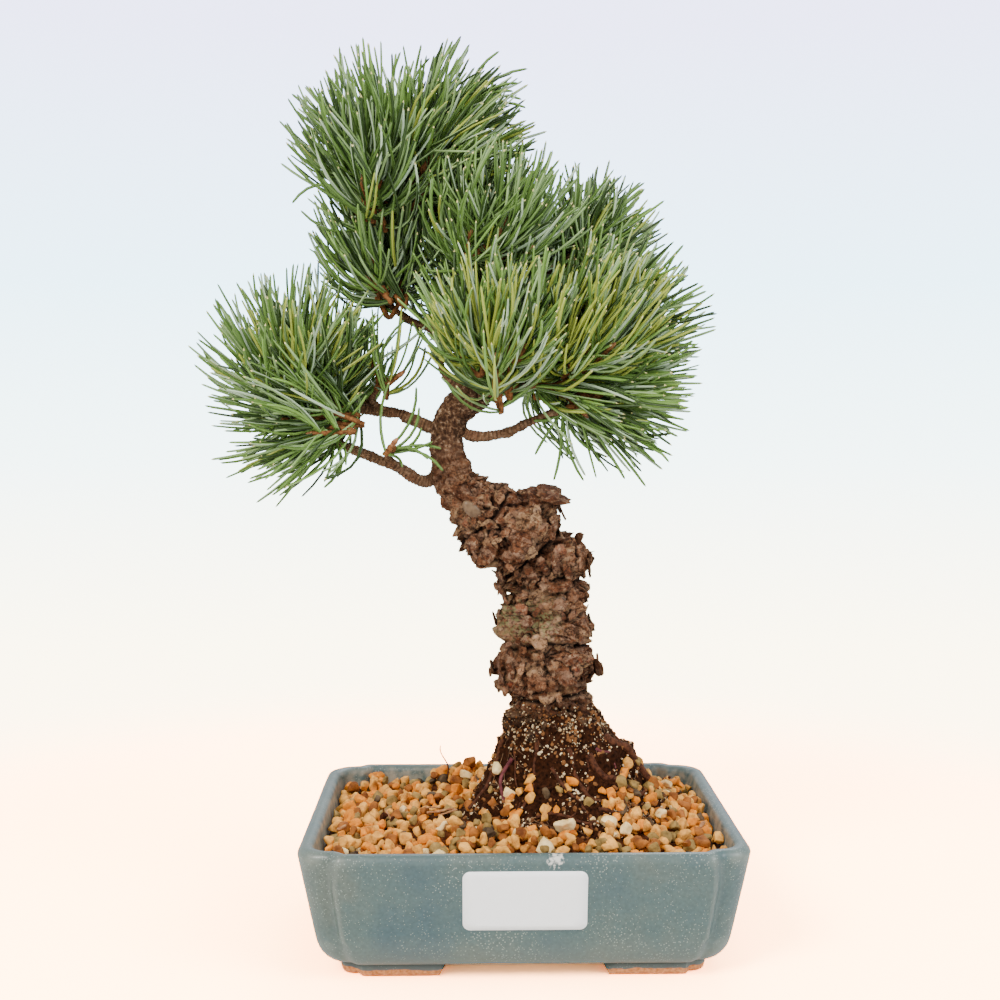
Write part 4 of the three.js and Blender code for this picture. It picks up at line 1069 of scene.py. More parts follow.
# Pale flakes; painted shade in the gaps between flakes, the lines between layers and the hollows; pale
# worn edges that are also painted highlight; and lichen.
for source, start, stop, most, where, tone in (
        (flakes.outputs["X"], 0.55, 1.0, 0.4, age, "#c6a386"),
        (flake_edges, 0.1, 0.02, 0.85, broken, "#1c0c06"),
        (layer, 0.45, 0.39, 0.8, age, "#26100a"),
        (bend, 0.55, 0.66, 0.3, age, "#b9906b"),
        (bend, 0.49, 0.42, 0.85, age, "#1a0b05"),
        (growth, 0.46, 0.58, 1.0, lichen, "#8d875c")):
    share = add(tree, "MapRange", {"Value": source, "From Min": start, "From Max": stop, "To Max": most})
    share = add(tree, "Math", {0: share, 1: where}, operation="MULTIPLY")
    skin = add(tree, "MixRGB", {"Fac": share, "Color1": skin, "Color2": tone})
# The crack value darkens the skin: painted shade in cracks, creases, hollows and under loose plates, and dirt
# at the stem's foot.
skin = add(tree, "MixRGB", {"Fac": crack, "Color1": skin, "Color2": "#120501"})
fine = add(tree, "TexNoise", {"Vector": place, "Scale": 1000 / 0.9, "Detail": 6.0, "Roughness": 0.75})
relief = add(tree, "Bump", {"Height": fine, "Strength": 0.8, "Distance": 0.0006})
for source, strength, depth in ((flakes.outputs["Y"], 0.6, 0.0005), (layer, 1.0, 0.0016)):
    rise = add(tree, "Math", {0: source, 1: age}, operation="MULTIPLY")
    relief = add(tree, "Bump", {"Height": rise, "Strength": strength, "Distance": depth, "Normal": relief})
feed(tree, shader, {"Base Color": skin, "Normal": relief})

t = np.linspace(0, 1, TRUNK_RINGS)
trunk_middle = spline(TRUNK_LINE, t)
trunk_way, trunk_side, trunk_other = frames(trunk_middle)
angle = bearings(TRUNK_SIDES)
radius = trunk_radius(t[:, None], angle[None])
outward = spokes(trunk_side, trunk_other, angle)
run = np.concatenate([[0], np.cumsum(np.linalg.norm(np.diff(trunk_middle, axis=0), axis=1))])
trunk_age = (1 - smoothstep(t, OLD_BARK_TO, YOUNG_BARK_FROM)[:, None] * np.ones(TRUNK_SIDES)).ravel()
smooth_points = (trunk_middle[:, None] + outward * radius[..., None]).reshape(-1, 3)
up_the_stem = run[:, None] * BARK_STRETCH * np.ones(TRUNK_SIDES)
unrolled = np.stack([radius * np.cos(angle), radius * np.sin(angle), up_the_stem], -1).reshape(-1, 3)
rng = np.random.default_rng(23)
area = 2 * math.pi * MEAN_RADIUS * run[-1] * BARK_STRETCH
plate_count, scale_count = (int(area / size ** 2) for size in (PLATE_SIZE, SCALE_SIZE))
plates, cracks, tone = plated(smooth_points, unrolled, plate_count, rng, 3.0, 0.2, 0.7)
scales, splits, tone_of_scale = plated(smooth_points, unrolled, scale_count, rng, 1.5, 0.18, 0.4)
cracks = cracks * smoothstep(lumps(smooth_points, 11, 64), -0.35, 0.3)
wobble = 0.008 * lumps(smooth_points, 14, 65) + 0.004 * lumps(smooth_points, 4, 66)
from_neck = np.min([np.abs(np.repeat(t, TRUNK_SIDES) + wobble - at) for at in NECKS], axis=0)
creases = np.exp(-(from_neck / CREASE_WIDTH) ** 2)
fine_relief = 0.34 * lumps(smooth_points, 1.6, 61) + 0.24 * lumps(smooth_points, 0.8, 62)
swells = 2.0 * lumps(smooth_points * (1, 1, 0.7), 7, 67) + 1.6 * lumps(smooth_points * (1, 1, 1.5), 3.4, 68)
layers = ledges(swells, LEDGE)
old_relief = 1.0 * layers + 1.3 * (plates - 0.5) + 0.35 * (scales - 0.5) + 0.8 * fine_relief
old_relief -= 1.5 * cracks + 0.25 * splits + 2.4 * creases
rings = 0.14 * np.sin(run[:, None] * 3.1 + 1.5 * np.sin(2 * angle) + t[:, None] * 9).ravel()
young_relief = rings + 0.55 * lumps(smooth_points, 4, 63) + fine_relief * 0.7
trunk_relief = young_relief + (old_relief - young_relief) * trunk_age
trunk_points = smooth_points + outward.reshape(-1, 3) * trunk_relief[:, None]
trunk = piece("trunk_bark", trunk_points, capped(TRUNK_RINGS, TRUNK_SIDES), [bark])
# Painted shade: the low parts of the relief, the cracks, the splits and the creases at the necks are
# darkened; near the soil the foot is darkened with dirt. Both go into the crack value.
hollow = 0.35 * lumps(smooth_points, 1.2, 69) - 0.5 * layers - 0.5 * scales - 0.3 * plates
hollow = smoothstep(hollow, -0.3, 0.9)
dirt = smoothstep(smooth_points[:, 2] + 5 * lumps(smooth_points, 5, 70), 106, 90)
dark = np.maximum.reduce([cracks, splits * 0.3, creases, hollow * 0.85]) * trunk_age
mark(trunk, plate=(0.6 * tone + 0.4 * tone_of_scale) * trunk_age + (1 - trunk_age) * 0.15,
     crack=np.maximum(dark, dirt * 0.85), age=trunk_age,
     lichen=np.exp(-((smooth_points[:, 2] - LICHEN_HEIGHT) / LICHEN_REACH) ** 2)
     * smoothstep(smooth_points[:, 0], 22, 8))
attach(trunk, "root")
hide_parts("trunk")

# Plates that have come loose at one edge and curl away from the stem.
FLAKE_COUNT = 260
PLATE_STEPS = 9
section = np.array([(-0.5, 1), (-0.17, 1), (0.17, 1), (0.5, 1),
                    (0.5, -1), (0.17, -1), (-0.17, -1), (-0.5, -1)])


def loose_plate(spot, wide, high, lift, turn, rng):
    """A curved flake held by one edge at a spot of the stem; turn says which way its free edge points."""
    ring = spot // TRUNK_SIDES
    normal = outward[ring, spot % TRUNK_SIDES]
    side = unit(np.cross(normal, trunk_way[ring]))
    along = trunk_way[ring] * math.cos(turn) + side * math.sin(turn)
    across = np.cross(normal, along)
    u = np.linspace(-1, 1, PLATE_STEPS)[:, None]
    v = section[:, 0] * (1 - 0.45 * u ** 4) + 0.06 * rng.normal(size=(PLATE_STEPS, 1))
    ragged = 1 + 0.08 * rng.normal(size=len(section)) * np.abs(u)
    thick = section[:, 1] * (0.42 - 0.2 * v)
    bulge = -(u * wide) ** 2 / (2.4 * radius[ring, spot % TRUNK_SIDES])
    bulge = bulge + (v + 0.5) * high * lift + (v + 0.5) ** 2 * high * lift * 0.35
    shape = (across * (u * wide * ragged)[..., None] + along * (v * high)[..., None]
             + normal * (bulge + thick + 0.1)[..., None])
    return (shape + trunk_points[spot]).reshape(-1, 3), capped(PLATE_STEPS, len(section))


# The largest loose plates: place, half width, length, lift and the turn of the free edge.
LARGE_PLATES = (
    ((33, -6, 115), 3.8, 8, 0.75, 1.6), ((23.5, -6, 177), 2.0, 5.5, 0.9, 1.2),
    ((4, -6, 196), 7.5, 6, 0.35, 3.4), ((12, -5, 195), 8.0, 8, 0.4, 3.2),
    ((19, -5, 189), 6.5, 8, 0.35, 3.0), ((8, -3, 198), 7.0, 7, 0.45, 3.3),
    ((30, -8, 166), 4.0, 6, 0.6, 0.9), ((31, -6, 161), 3.2, 5, 0.5, 1.3),
    ((32, -4, 157), 3.0, 5, 0.4, 1.6), ((-9, -6, 147), 3.0, 6.5, 0.3, -1.4),
    ((-10, -6, 122), 3.6, 9, 0.4, -1.5), ((-8, -6, 113), 3.6, 7, 0.35, -1.2),
    ((9, -14, 165), 1.8, 9, 0.2, 0.1), ((14, -14, 163), 2.0, 10, 0.22, -0.1),
    ((20, -13, 161), 1.8, 9, 0.25, 0.2), ((4, -14, 161), 1.9, 8, 0.2, 0.0),
    ((17, -13, 151), 5.5, 4, 0.15, 3.1), ((8, -14, 111), 6.0, 6, 0.15, 3.0),
    ((20, -14, 114), 4.5, 6, 0.2, 2.9), ((-14, -12, 168), 5.0, 6, 0.3, 3.3),
    ((-20, -10, 172), 4.5, 6, 0.35, 3.6), ((-5, -16, 168), 4.5, 5, 0.25, 3.0))
rng = np.random.default_rng(29)
flakes = []
flake_tones = []
for place_of_plate, wide, high, lift, turn in LARGE_PLATES:
    spot = np.argmin(np.linalg.norm(trunk_points - place_of_plate, axis=1))
    flakes.append(loose_plate(spot, wide, high, lift, turn, rng))
    flake_tones.append(0.15 + 0.15 * rng.random())
for number in range(FLAKE_COUNT):
    ring = rng.integers(int(0.1 * TRUNK_RINGS), int(0.6 * TRUNK_RINGS))
    spot = ring * TRUNK_SIDES + rng.integers(0, TRUNK_SIDES)
    wide = 1.2 + 2.9 * rng.random() ** 1.5
    high = 2.0 + 4.2 * rng.random() ** 1.3
    lift = 0.05 + 0.3 * rng.random() ** 1.5
    flakes.append(loose_plate(spot, wide, high, lift, rng.choice((0, math.pi)) + rng.normal() * 0.7, rng))
    flake_tones.append(rng.random())
loose = piece("loose_bark_plates", *joined(flakes), [bark])
flake_tones = np.repeat(flake_tones, PLATE_STEPS * len(section))
# The undersides of the loose plates are painted half dark, as painted shade, through the crack value.
mark(loose, plate=flake_tones, crack=np.tile(np.clip(-section[:, 1], 0, 1) * 0.5, PLATE_STEPS * len(flakes)),
     age=flake_tones * 0 + 1, lichen=flake_tones * 0)
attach(loose, "root")

# Where boughs were cut long ago, resin has sealed the stem with smooth grey-brown ovals.
sealed = tinted("hardened_resin_scar", "#44301f", "#715a42", 3, 0.4, 0.2, 0.25)
scar_shape = unit(np.array([(math.cos(a) * r, math.sin(a) * r, z) for z, r in
                            ((-0.6, 0.7), (-0.1, 1.0), (0.35, 0.92), (0.7, 0.65), (0.9, 0.3))
                            for a in np.arange(16) * math.pi / 8]))
scars = []
for place_of_scar, wide, high in (((-21, -8, 186), 3.0, 5.4), ((17, -13, 149), 2.6, 1.7)):
    spot = np.argmin(np.linalg.norm(trunk_points - place_of_scar, axis=1))
    ring = spot // TRUNK_SIDES
    normal = outward[ring, spot % TRUNK_SIDES]
    side = unit(np.cross(trunk_way[ring], normal))
    turn = np.stack([side * wide, trunk_way[ring] * high, normal * 1.5], 1)
    scars.append((scar_shape @ turn.T + trunk_points[spot], capped(5, 16)))
healed = piece("resin_scars", *joined(scars), [sealed])
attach(healed, "root")

# Soil and pale grit that still cling to the foot of the stem.
rng = np.random.default_rng(31)
CLINGING_GRAINS = 1500
low_spots = np.flatnonzero((trunk_points[:, 2] < 108) & (trunk_points[:, 2] > 84))
chance = np.clip((110 - trunk_points[low_spots, 2]) / 26, 0, 1) ** 1.6
chosen = rng.choice(low_spots, CLINGING_GRAINS, p=chance / chance.sum())
grit_points, faces = copies(grit_shape * (1, 0.8, 0.7), [grit_faces],
                            trunk_points[chosen] + outward.reshape(-1, 3)[chosen] * 0.15,
                            random_turns(rng, len(chosen)), 0.25 + 0.5 * rng.random(len(chosen)) ** 2)
clay_of_grain = np.repeat(rng.random(len(chosen)) < 0.5, len(grit_faces))
grit_clays = [bpy.data.materials[f"{each}_grit_clay"] for each in ("pale", "brown")]
clinging = piece("grit_on_the_stem", grit_points, faces, grit_clays, clay_of_grain, smooth=False)
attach(clinging, "root")


# The boughs
# Living branches of the pine, thick where they leave the stem and ringed by old bud scars; one is a dead
# stub. Each is covered with young bark and rides on the bough it grows from.

BOUGHS = (
    ("leader_lower", "trunk", 1, 6.6, 4.2, [(-4, 5, 241.5), (10, 4, 245.5), (21, 7, 257), (23, 11, 271)]),
    ("leader_upper", "leader_lower", 1, 4.1, 2.0,
     [(16, 15, 287), (-4, 15, 303), (-28, 11, 320), (-45, 6, 333)]),
    ("left_lower_bough", "trunk", 0.78, 3.0, 1.8,
     [(-40, 4, 198), (-54.5, 0, 204.5), (-72, -5, 212), (-84, -8, 218)]),
    ("left_upper_bough", "trunk", 0.9, 3.0, 1.9,
     [(-38, 8, 221.5), (-53, 11, 227.3), (-65, 10, 228.6), (-81, 6, 232)]),
    ("right_lower_bough", "trunk", 0.86, 2.6, 1.5,
     [(-20, 3, 217.5), (-5.7, -2, 219.4), (8, -5, 225.5), (18, -8, 229)]),
    ("dead_stub", "trunk", 0.97, 2.1, 1.3, [(-32.5, 2, 244), (-34.5, 0, 252)]),
    ("inner_left_bough", "leader_lower", 0.5, 2.3, 1.5,
     [(-14, 19, 254), (-37, 16, 264), (-49, 15, 269), (-60, 13, 277)]),
    ("right_inner_bough", "leader_lower", 0.75, 2.2, 1.5, [(8, -6, 257), (-4, -14, 261)]),
    ("right_outer_bough", "leader_lower", 0.88, 2.4, 1.6, [(30, 2, 265), (36, -4, 267)]),
    ("back_right_bough", "leader_lower", 0.86, 2.4, 1.6, [(27, 26, 273), (30, 40, 279)]),
    ("back_middle_bough", "leader_upper", 0.3, 2.2, 1.5, [(0, 30, 291), (-12, 42, 289)]),
    ("middle_bough", "leader_upper", 0.52, 2.1, 1.4, [(-8, 6, 306), (-8, -2, 307)]),
    ("right_back_bough", "leader_upper", 0.25, 2.1, 1.4, [(24, 22, 299), (32, 28, 306)]),
    ("back_top_bough", "leader_upper", 0.75, 1.9, 1.4, [(-34, 22, 327), (-40, 30, 330)]),
    ("apex_right_bough", "leader_upper", 0.72, 2.0, 1.4, [(-24, 10, 333), (-23, 9, 343)]),
    ("left_spur", "left_upper_bough", 0.62, 1.6, 1.3, [(-65, 9, 233), (-63, 7, 238)]),
    ("lower_spur", "left_lower_bough", 0.45, 1.6, 1.3, [(-57, -6, 208.5), (-55, -10, 212)]),
    ("back_left_bough", "left_upper_bough", 0.6, 1.7, 1.3, [(-74, 22, 235), (-86, 32, 241)]),
)
# Knobs where side shoots were pruned: bough, share of its length, bearing round it and height.
KNOBS = (
    ("right_lower_bough", 0.5, 4.4, 1.3), ("right_lower_bough", 0.8, 4.7, 1.2),
    ("left_lower_bough", 0.3, 1.5, 1.0), ("left_upper_bough", 0.45, 1.2, 1.1),
    ("left_lower_bough", 0.62, 4.6, 1.1), ("leader_lower", 0.3, 5.2, 1.8),
    ("leader_lower", 0.45, 4.0, 1.2), ("inner_left_bough", 0.5, 1.4, 0.9),
    ("dead_stub", 0.55, 0.5, 0.7))
BOUGH_SIDES = 32
RING_SPACING = 0.38
lines = {"trunk": TRUNK_LINE}
bough_tips = {}
for number, (name, parent, start, root_radius, tip_radius, way) in enumerate(BOUGHS):
    first = spline(lines[parent], [start])[0]
    inside = spline(lines[parent], [start - 0.03])[0]
    lines[name] = [first, *way]
    if start == 1:
        lines[name] = [first, first + unit(first - inside) * 4, *way]
    length = sum(math.dist(a, b) for a, b in zip(lines[name], lines[name][1:]))
    steps = int(length / RING_SPACING)
    t = np.linspace(0, 1, steps)
    line = spline(lines[name], t)
    if start == 1:
        line = np.concatenate([[inside], line[1:]])
    bough_tips[name] = (line[-1], unit(line[-1] - line[-3]), tip_radius)
    angle = bearings(BOUGH_SIDES)
    base = root_radius + (tip_radius - root_radius) * t + (start < 1) * root_radius * 0.35 * np.exp(-t / 0.08)
    wave = 1 + 0.07 * np.sin(2 * angle + 21 * t[:, None]) + 0.06 * np.sin(34 * t[:, None])
    bough_radius = base[:, None] * wave
    for knobbed, at, bearing, high in KNOBS:
        if knobbed == name:
            along = (t[:, None] - at) * length / 1.6
            knob = high * np.exp(-along ** 2) * np.maximum(0, np.cos(angle - bearing)) ** 3
            bough_radius = bough_radius + knob
    across, other = frames(line)[1:]
    outside = spokes(across, other, angle)
    spots = (line[:, None] + outside * bough_radius[..., None]).reshape(-1, 3)
    size = min(root_radius, 3.2)
    drift = 2 * lumps(spots, 5, 74).reshape(steps, -1)
    ringed = np.sin(t[:, None] * length * 4.2 + np.sin(angle + number) + drift)
    rough = 0.05 * size * ringed.ravel() + 0.14 * size * lumps(spots, 3, 71) + 0.25 * lumps(spots, 1.1, 72)
    shell = spots + outside.reshape(-1, 3) * rough[:, None]
    made = piece(f"{name}_bark", shell, capped(steps, BOUGH_SIDES), [bark])
    # Painted shade: the hollows between the rings and lumps are darkened through the crack value.
    hollows = np.clip(-ringed.ravel() * 0.5 - lumps(spots, 2, 75) * 0.5, 0, 0.6)
    mark(made, plate=0.75 + 0.25 * lumps(spots, 5, 73), crack=hollows, age=np.full(len(spots), 0.15),
         lichen=np.zeros(len(spots)))
    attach(made, "root")
    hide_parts(name)


# The needles and their twigs
# Five-needled pine foliage: from each bough's tip a stem forks into shoots, and each shoot bears bundles
# of five curved needles, green outside and silvery inside, round a red-brown bud.

NEEDLE_LENGTH = 44
CURL = 1.65
# Real needles are about 0.7 wide, too fine to show; they are drawn as coarse as they need to be.
NEEDLE_WIDTH = 1.35
NEEDLE_SHARES = np.array([0, 0.17, 0.34, 0.5, 0.66, 0.82, 0.97, 1.0])
# A shoot's leafy length, its bundles and how far it stands back from the edge of its mass.
FULL_SHOOT = (18, 12, 13)
SMALL_SHOOT = (7, 8, 2)
LEAF_SCAR = 0.15
STEM_STEPS = 24
SHOOT_STEPS = 20
GOLDEN_ANGLE = math.pi * (3 - math.sqrt(5))
UP = np.array([0.0, 0.0, 1.0])
STEM_STOPS_SHORT = 6
NEEDLE_ROOM = 23
SHOOT_DEPTHS = (1.0, 0.9, 0.45)
STRAY_SHARE = 0.35
PALE_TIP_SHARE = 0.4
FRONT_SHARE = 0.5

# The needle skins: waxy, each one plain colour, since the mixture of many makes the crown's colour.
needle_skins = [surface(name, Base_Color=colour, Roughness=0.4, Specular_IOR_Level=0.4)[0]
                for name, colour in (
    ("mid_green_needle_skin", "#587733"), ("deep_green_needle_skin", "#2b4115"),
    ("yellow_green_needle_skin", "#9da943"), ("fresh_green_needle_skin", "#729644"),
    ("silver_needle_lining", "#a9bf9c"), ("grey_green_needle_lining", "#84a065"),
    ("pale_yellow_needle_tip", "#cfc883"))]
NEEDLE_FACTS = ("roots", "ways", "out", "pulls", "lengths", "widths", "inner", "outer", "tip")
GREEN_SKINS = 4
MID_SKIN, _, YELLOW_SKIN, FRESH_SKIN, SILVER_LINING, GREY_LINING, TIP_SKIN = range(7)
# Bud scales shine a little with resin; the bark of shoots is matt and red-brown.
bud_skin = tinted("resinous_bud_scales", "#5c2c12", "#b07a4c", 1.2, 0.5, 0.7, 0.4)
twig_bark = tinted("red_brown_shoot_bark", "#3c2110", "#916038", 1.8, 0.8, 0.8)

# How often a shoot's needles are mid, deep, yellow or fresh green outside, and silver inside.
APEX_TINTS = (0.48, 0.38, 0.05, 0.09, 0.25)
MIDDLE_TINTS = (0.45, 0.32, 0.07, 0.16, 0.27)
LEFT_TINTS = (0.42, 0.27, 0.12, 0.19, 0.18)
RIGHT_TINTS = (0.46, 0.26, 0.05, 0.23, 0.22)
# Masses whose upper front shoots have yellowed in the sun.
SUNNY_MASSES = ("right_inner", "right_outer")

# Each mass with its bough, shoots, heart and reach, the way it grows and its tints.
MASSES = (
    ("apex_left", "leader_upper", 12, (-65, -2, 344), (37, 36, 43), (-0.25, 0, 1.2), APEX_TINTS),
    ("apex_right", "apex_right_bough", 11, (-27, 5, 353), (37, 34, 36), (0.7, 0, 0.95), APEX_TINTS),
    ("below_apex", "inner_left_bough", 9, (-62, 12, 303), (34, 33, 32), (-0.3, 0, 1.0), APEX_TINTS),
    ("middle", "middle_bough", 12, (-10, -10, 312), (41, 34, 35), (0.3, -0.1, 1.1), MIDDLE_TINTS),
    ("right_back", "right_back_bough", 9, (36, 31, 313), (33, 32, 31), (0.5, 0.1, 1.0), MIDDLE_TINTS),
    ("right_inner", "right_inner_bough", 14, (-12, -20, 269), (38, 34, 35), (-0.05, -0.2, 1.1), RIGHT_TINTS),
    ("right_outer", "right_outer_bough", 17, (40, -8, 272), (43, 38, 38), (0.55, -0.1, 0.9), RIGHT_TINTS),
    ("right_lower", "right_lower_bough", 13, (44, -4, 236), (38, 34, 37), (1.0, -0.1, -0.15), RIGHT_TINTS),
    ("left_upper", "left_upper_bough", 14, (-99, 2, 256), (41, 36, 41), (-0.2, 0, 1.1), LEFT_TINTS),
    ("left_lower", "left_lower_bough", 8, (-101, -10, 225), (37, 34, 37), (-1.0, -0.1, 0.1), LEFT_TINTS),
    ("left_inner", "left_spur", 3, (-59, 4, 246), (30, 30, 30), (0.45, 0, 0.9), LEFT_TINTS),
    ("lower_fan", "lower_spur", 1, (-51, -15, 215), (28, 27, 26), (0.9, -0.2, 0.4), LEFT_TINTS),
    ("back_left", "back_left_bough", 9, (-93, 38, 248), (34, 32, 34), (-0.2, 0.3, 0.9), LEFT_TINTS),
    ("back_top", "back_top_bough", 9, (-48, 36, 335), (36, 32, 38), (0, 0.3, 1.1), APEX_TINTS),
    ("back_middle", "back_middle_bough", 10, (-18, 48, 288), (38, 34, 36), (0, 0.4, 0.9), MIDDLE_TINTS),
    ("back_right", "back_right_bough", 10, (34, 45, 282), (38, 34, 36), (0.4, 0.4, 0.7), RIGHT_TINTS),
)
# Needles that stand out alone, by mass: foot, tip and first direction.
HANGING_FOOT = (17.9, -7, 228)
APEX_FOOT = (-25, 2, 353)
FAN_FOOT = (-59.3, -8, 210)
LOW_FOOT = (-80.3, -8, 217)
LONE_NEEDLES = {
    "apex_right": [(APEX_FOOT, tip, way) for tip, way in (
        ((6.1, -4, 373.7), (0.5, 0, 1)), ((1.8, -4, 367.4), (0.5, 0, 0.9)), ((3.9, -6, 358.6), (0.7, 0, 0.9)),
        ((4.7, -6, 355.3), (1, 0, 0.8)), ((-7, 0, 383), (0.1, 0, 1)), ((-0.9, -8, 362.7), (0.6, -0.2, 0.9)))],
    "lower_fan": [(FAN_FOOT, tip, way) for tip, way in (
        ((-31.6, -17, 200.2), (1, -0.2, 0.3)), ((-33.2, -16, 212), (1, -0.2, 0.4)),
        ((-43.8, -14, 233.2), (1, 0, 0.4)), ((-45.1, -12, 240.8), (0.8, 0, 0.7)),
        ((-37.4, -16, 215.8), (1, -0.2, 0.1)), ((-50.4, -20, 203.7), (0.9, -0.5, 0)),
        ((-38, -18, 206), (1, -0.3, 0.5)), ((-42, -17, 224), (1, 0, 0.1)))],
    "left_lower": [(LOW_FOOT, tip, way) for tip, way in (
        ((-87.4, -16, 193.8), (0.5, -0.3, -0.8)), ((-78.7, -18, 199.4), (0.6, -0.4, -0.9)),
        ((-92.7, -14, 200.1), (-0.3, -0.4, -1)), ((-74.3, -20, 203.7), (0.6, -0.7, -0.2)),
        ((-97.9, -16, 207), (-0.6, -0.4, -0.9)), ((-84, -16, 198), (0.1, -0.5, -1)))],
    "right_lower": [(HANGING_FOOT, tip, way) for tip, way in (
        ((6.1, -8, 209.5), (-0.6, 0, -0.8)), ((14.1, -6, 198.3), (0, 0, -1)), ((27.8, -7, 198), (0.1, 0, -1)),
        ((31, -6, 211.3), (0.4, 0, -0.9)), ((5, -8, 224.7), (-0.7, 0, -0.5)))]
    + [((26, -8, 228), tip, way) for tip, way in (
        ((54.1, -8, 195.6), (0.6, 0, -0.6)), ((45, -8, 199), (0.5, 0, -0.7)),
        ((58, -10, 206), (0.8, 0, -0.4)))],
    "below_apex": [((-74, -6, 322), (-99.2, -6, 313.1), (-0.9, 0, 0.4))],
}


def scarred(steps):
    """The swelling of a twig over every other ring, where leaves have fallen."""
    return 1 + LEAF_SCAR * (np.arange(steps) % 2)


def leaning(axis, tilt, turn):
    """Directions that lean away from an axis by a tilt, at a turn round it."""
    across = unit(np.cross(axis, (0.3, 0.9, 0.1)))
    other = np.cross(axis, across)
    return (axis * np.cos(tilt)[:, None]
            + (across * np.cos(turn)[:, None] + other * np.sin(turn)[:, None]) * np.sin(tilt)[:, None])


def needles(roots, ways, out, pulls, lengths, widths, inner, outer, tip):
    """Curved three-sided needles with a green outer face, a green and a silver inner one, and a pale tip."""
    count = len(roots)
    share = NEEDLE_SHARES
    way = unit(ways[:, None] + (share ** 1.6)[:, None] * pulls[:, None])
    steps = (way[:, 1:] + way[:, :-1]) / 2 * np.diff(share)[:, None] * lengths[:, None, None]
    middle = roots[:, None] + np.concatenate([np.zeros((count, 1, 3)), np.cumsum(steps, axis=1)], 1)
    out = unit(out[:, None] - way * np.sum(out[:, None] * way, axis=-1, keepdims=True))
    aside = np.cross(way, out)
    thick = widths[:, None] / math.sqrt(3) * np.interp(share, (0, 0.17, 0.82, 0.97), (0.72, 1, 0.95, 0.72))
    corners = []
    for turn in np.radians((60, 180, 300)):
        corners.append(middle + thick[..., None] * (out * math.cos(turn) * 0.8 + aside * math.sin(turn)))
    body = np.stack(corners, 2)[:, :-1].reshape(count, -1, 3)
    points = np.concatenate([body, middle[:, -1:]], 1)
    size = points.shape[1]
    quads = grid_faces(len(share) - 1, 3)
    last = (len(share) - 2) * 3
    tips = np.array([(last, last + 1, size - 1), (last + 1, last + 2, size - 1), (last + 2, last, size - 1)])
    first = np.arange(count)[:, None, None] * size
    by_side = np.stack([outer, inner, outer], 1)
    quad_skins = np.tile(by_side[:, None], (1, len(share) - 2, 1))
    faces = [(quads + first).reshape(-1, 4), (tips + first).reshape(-1, 3)]
    return points.reshape(-1, 3), faces, np.concatenate([quad_skins.ravel(), np.repeat(tip, 3)])


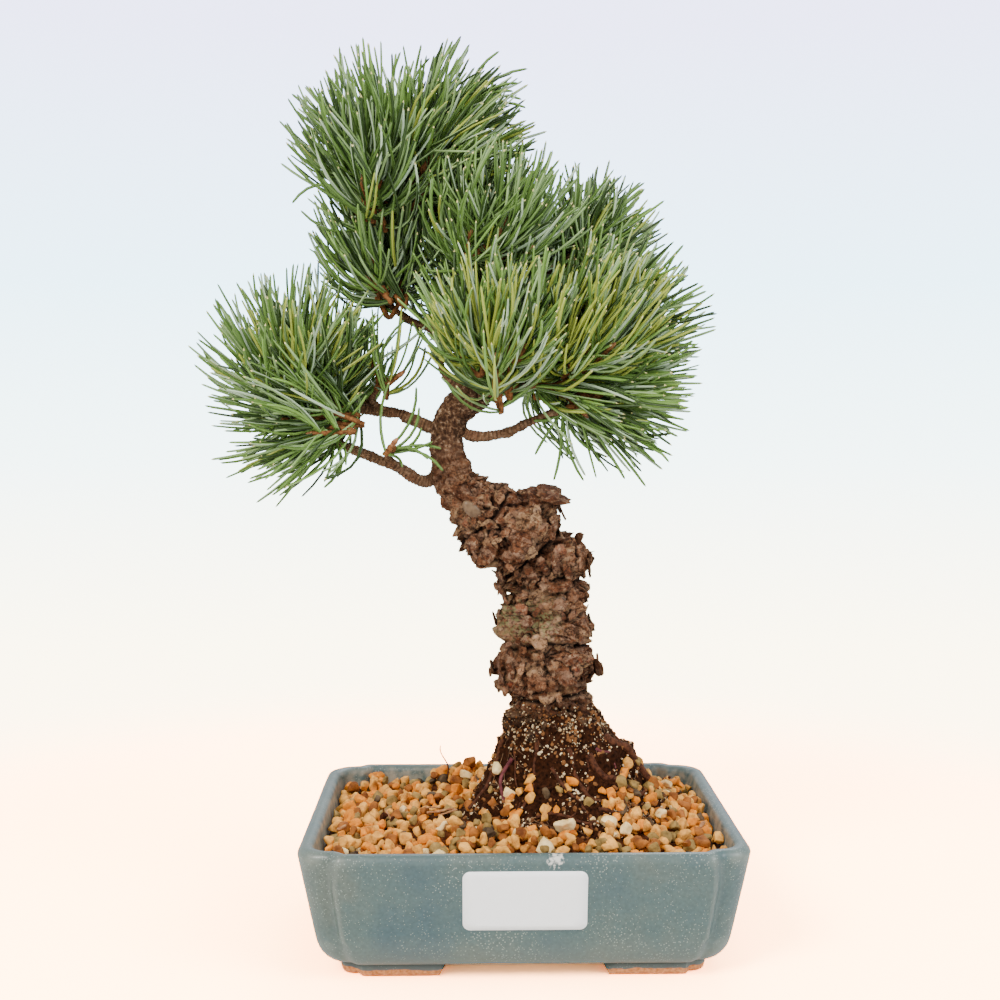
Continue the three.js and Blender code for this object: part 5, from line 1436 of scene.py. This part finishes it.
bud_shape = unit(np.array([(math.cos(a) * r, math.sin(a) * r, z) for z, r in
                           ((-0.9, 0.35), (-0.4, 0.9), (0.2, 0.85), (0.7, 0.45), (1.0, 0.08))
                           for a in bearings(7)])) * (0.42, 0.42, 1)
for number, (name, bough, shoots, heart, oval, lean, tints) in enumerate(MASSES):
    rng = np.random.default_rng(100 + number)
    heart, oval, lean = (np.array(each, float) for each in (heart, oval, lean))
    tip, tip_way, tip_radius = bough_tips[bough]
    bend = tip + tip_way * np.linalg.norm(heart - tip) * 0.5
    share = np.linspace(0, 1, STEM_STEPS)[:, None]
    stem_end = heart - unit(lean) * STEM_STOPS_SHORT
    stem = tip * (1 - share) ** 2 + bend * 2 * share * (1 - share) + stem_end * share ** 2
    twigs = [tube(stem, tip_radius * np.linspace(0.97, 0.62, STEM_STEPS) * scarred(STEM_STEPS), 10)]
    leafy, bundles, back = FULL_SHOOT if shoots > 3 else SMALL_SHOOT
    room_for = np.clip(oval - NEEDLE_ROOM, 7, 40)
    grown = {key: [] for key in NEEDLE_FACTS}
    bud_places = []
    bud_ways = []
    for i in range(shoots):
        upness = 1 - 1.85 * (i + 0.5) / shoots
        around = GOLDEN_ANGLE * i + number
        aside = math.sqrt(1 - upness ** 2)
        out = np.array([aside * math.cos(around), aside * math.sin(around), upness])
        high = heart + out * room_for * SHOOT_DEPTHS[i % 3] - unit(lean) * back + rng.normal(size=3) * 2.5
        axis = unit(out * 0.6 + lean + rng.normal(size=3) * 0.22)
        low = high - axis * leafy
        joint = stem[int((STEM_STEPS - 1) * (0.5 + 0.45 * rng.random()))]
        way_in = spline([joint, joint + (low - joint) * 0.55 + tip_way * 2, low, high],
                        np.linspace(0, 1, SHOOT_STEPS))
        twigs.append(tube(way_in, np.linspace(1.4, 0.95, SHOOT_STEPS) * scarred(SHOOT_STEPS), 8))
        bud_places.append(high)
        bud_ways.append(axis)
        k = np.arange(bundles)
        leaf_share = (k + 0.5) / bundles
        tilt = 1.45 - 0.9 * leaf_share + rng.normal(size=bundles) * 0.16
        turn = GOLDEN_ANGLE * k + rng.random() * 6
        bundle_way = leaning(axis, tilt, turn)
        bundle_root = low + axis * (leaf_share * leafy)[:, None]
        outer = rng.choice(GREEN_SKINS, p=tints[:GREEN_SKINS])
        if name in SUNNY_MASSES and high[1] < heart[1] and high[2] < heart[2] - 4:
            outer = YELLOW_SKIN
        inner = SILVER_LINING if rng.random() < tints[GREEN_SKINS] else GREY_LINING
        sweep = unit(rng.normal(size=3) + (0.3, 0, 0)) * 0.7
        for fifth in range(5):
            spread = 0.06 + 0.12 * rng.random(bundles)
            around_bundle = fifth * 2 * math.pi / 5 + rng.random(bundles) * 0.6
            side_one = unit(np.cross(bundle_way, axis + (0.01, 0.02, 0)))
            side_two = np.cross(bundle_way, side_one)
            off = side_one * np.cos(around_bundle)[:, None] + side_two * np.sin(around_bundle)[:, None]
            grown["roots"].append(bundle_root + off * 0.3)
            grown["ways"].append(unit(bundle_way + off * spread[:, None]))
            grown["out"].append(off)
            pull = axis * (0.4 + 0.8 * rng.random(bundles))[:, None] + sweep
            pull = pull + unit(lean) * (0.2 + 0.8 * rng.random(bundles))[:, None]
            grown["pulls"].append((pull + rng.normal(size=(bundles, 3)) * 0.22) * CURL)
            grown["lengths"].append(NEEDLE_LENGTH * (0.72 + 0.3 * rng.random(bundles)))
            grown["widths"].append(NEEDLE_WIDTH * (0.85 + 0.25 * rng.random(bundles)))
            strays = rng.random(bundles) < STRAY_SHARE
            strange = rng.choice(GREEN_SKINS, bundles, p=tints[:GREEN_SKINS])
            grown["outer"].append(np.where(strays, strange, outer))
            grown["inner"].append(np.where(strays, SILVER_LINING + GREY_LINING - inner, inner))
            grown["tip"].append(np.where(rng.random(bundles) < PALE_TIP_SHARE, TIP_SKIN, outer))
    grown = {key: np.concatenate(value) for key, value in grown.items()}
    tips = grown["roots"] + unit(grown["ways"] + 0.4 * grown["pulls"]) * grown["lengths"][:, None]
    kept = np.linalg.norm((tips - heart) / oval, axis=1) < 0.96 + 0.16 * rng.random(len(tips))
    kept &= (grown["ways"][:, 1] > -0.6) | (rng.random(len(tips)) < FRONT_SHARE)
    grown = {key: value[kept] for key, value in grown.items()}
    for foot_of_needle, end, way in LONE_NEEDLES.get(name, ()):
        span = np.subtract(end, foot_of_needle)
        first_way = unit(np.array(way, float))
        bow = (unit(span) - first_way) * 2.5
        alone = (foot_of_needle, first_way, np.cross(first_way, UP) + (0, -1, 0), bow, np.linalg.norm(span),
                 NEEDLE_WIDTH, FRESH_SKIN, MID_SKIN, MID_SKIN)
        for key, value in zip(grown, alone):
            grown[key] = np.concatenate([grown[key], np.array([value])])
    points, faces, skins = needles(**grown)
    foliage = piece(f"{name}_needles", points, faces, needle_skins, skins)
    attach(foliage, "root")
    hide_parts(f"{name}_foliage")
    forks = piece(f"{name}_twigs", *joined(twigs), [twig_bark])
    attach(forks, "root")
    ways = np.array(bud_ways)
    side_one = unit(np.cross(ways, (0.3, 0.9, 0.1)))
    turns = np.stack([side_one, np.cross(ways, side_one), ways], 2)
    bud_points, faces = copies(bud_shape, capped(5, 7), np.array(bud_places), turns, 2.2 + rng.random(shoots))
    buds = piece(f"{name}_buds", bud_points, faces, [bud_skin])
    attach(buds, "root")
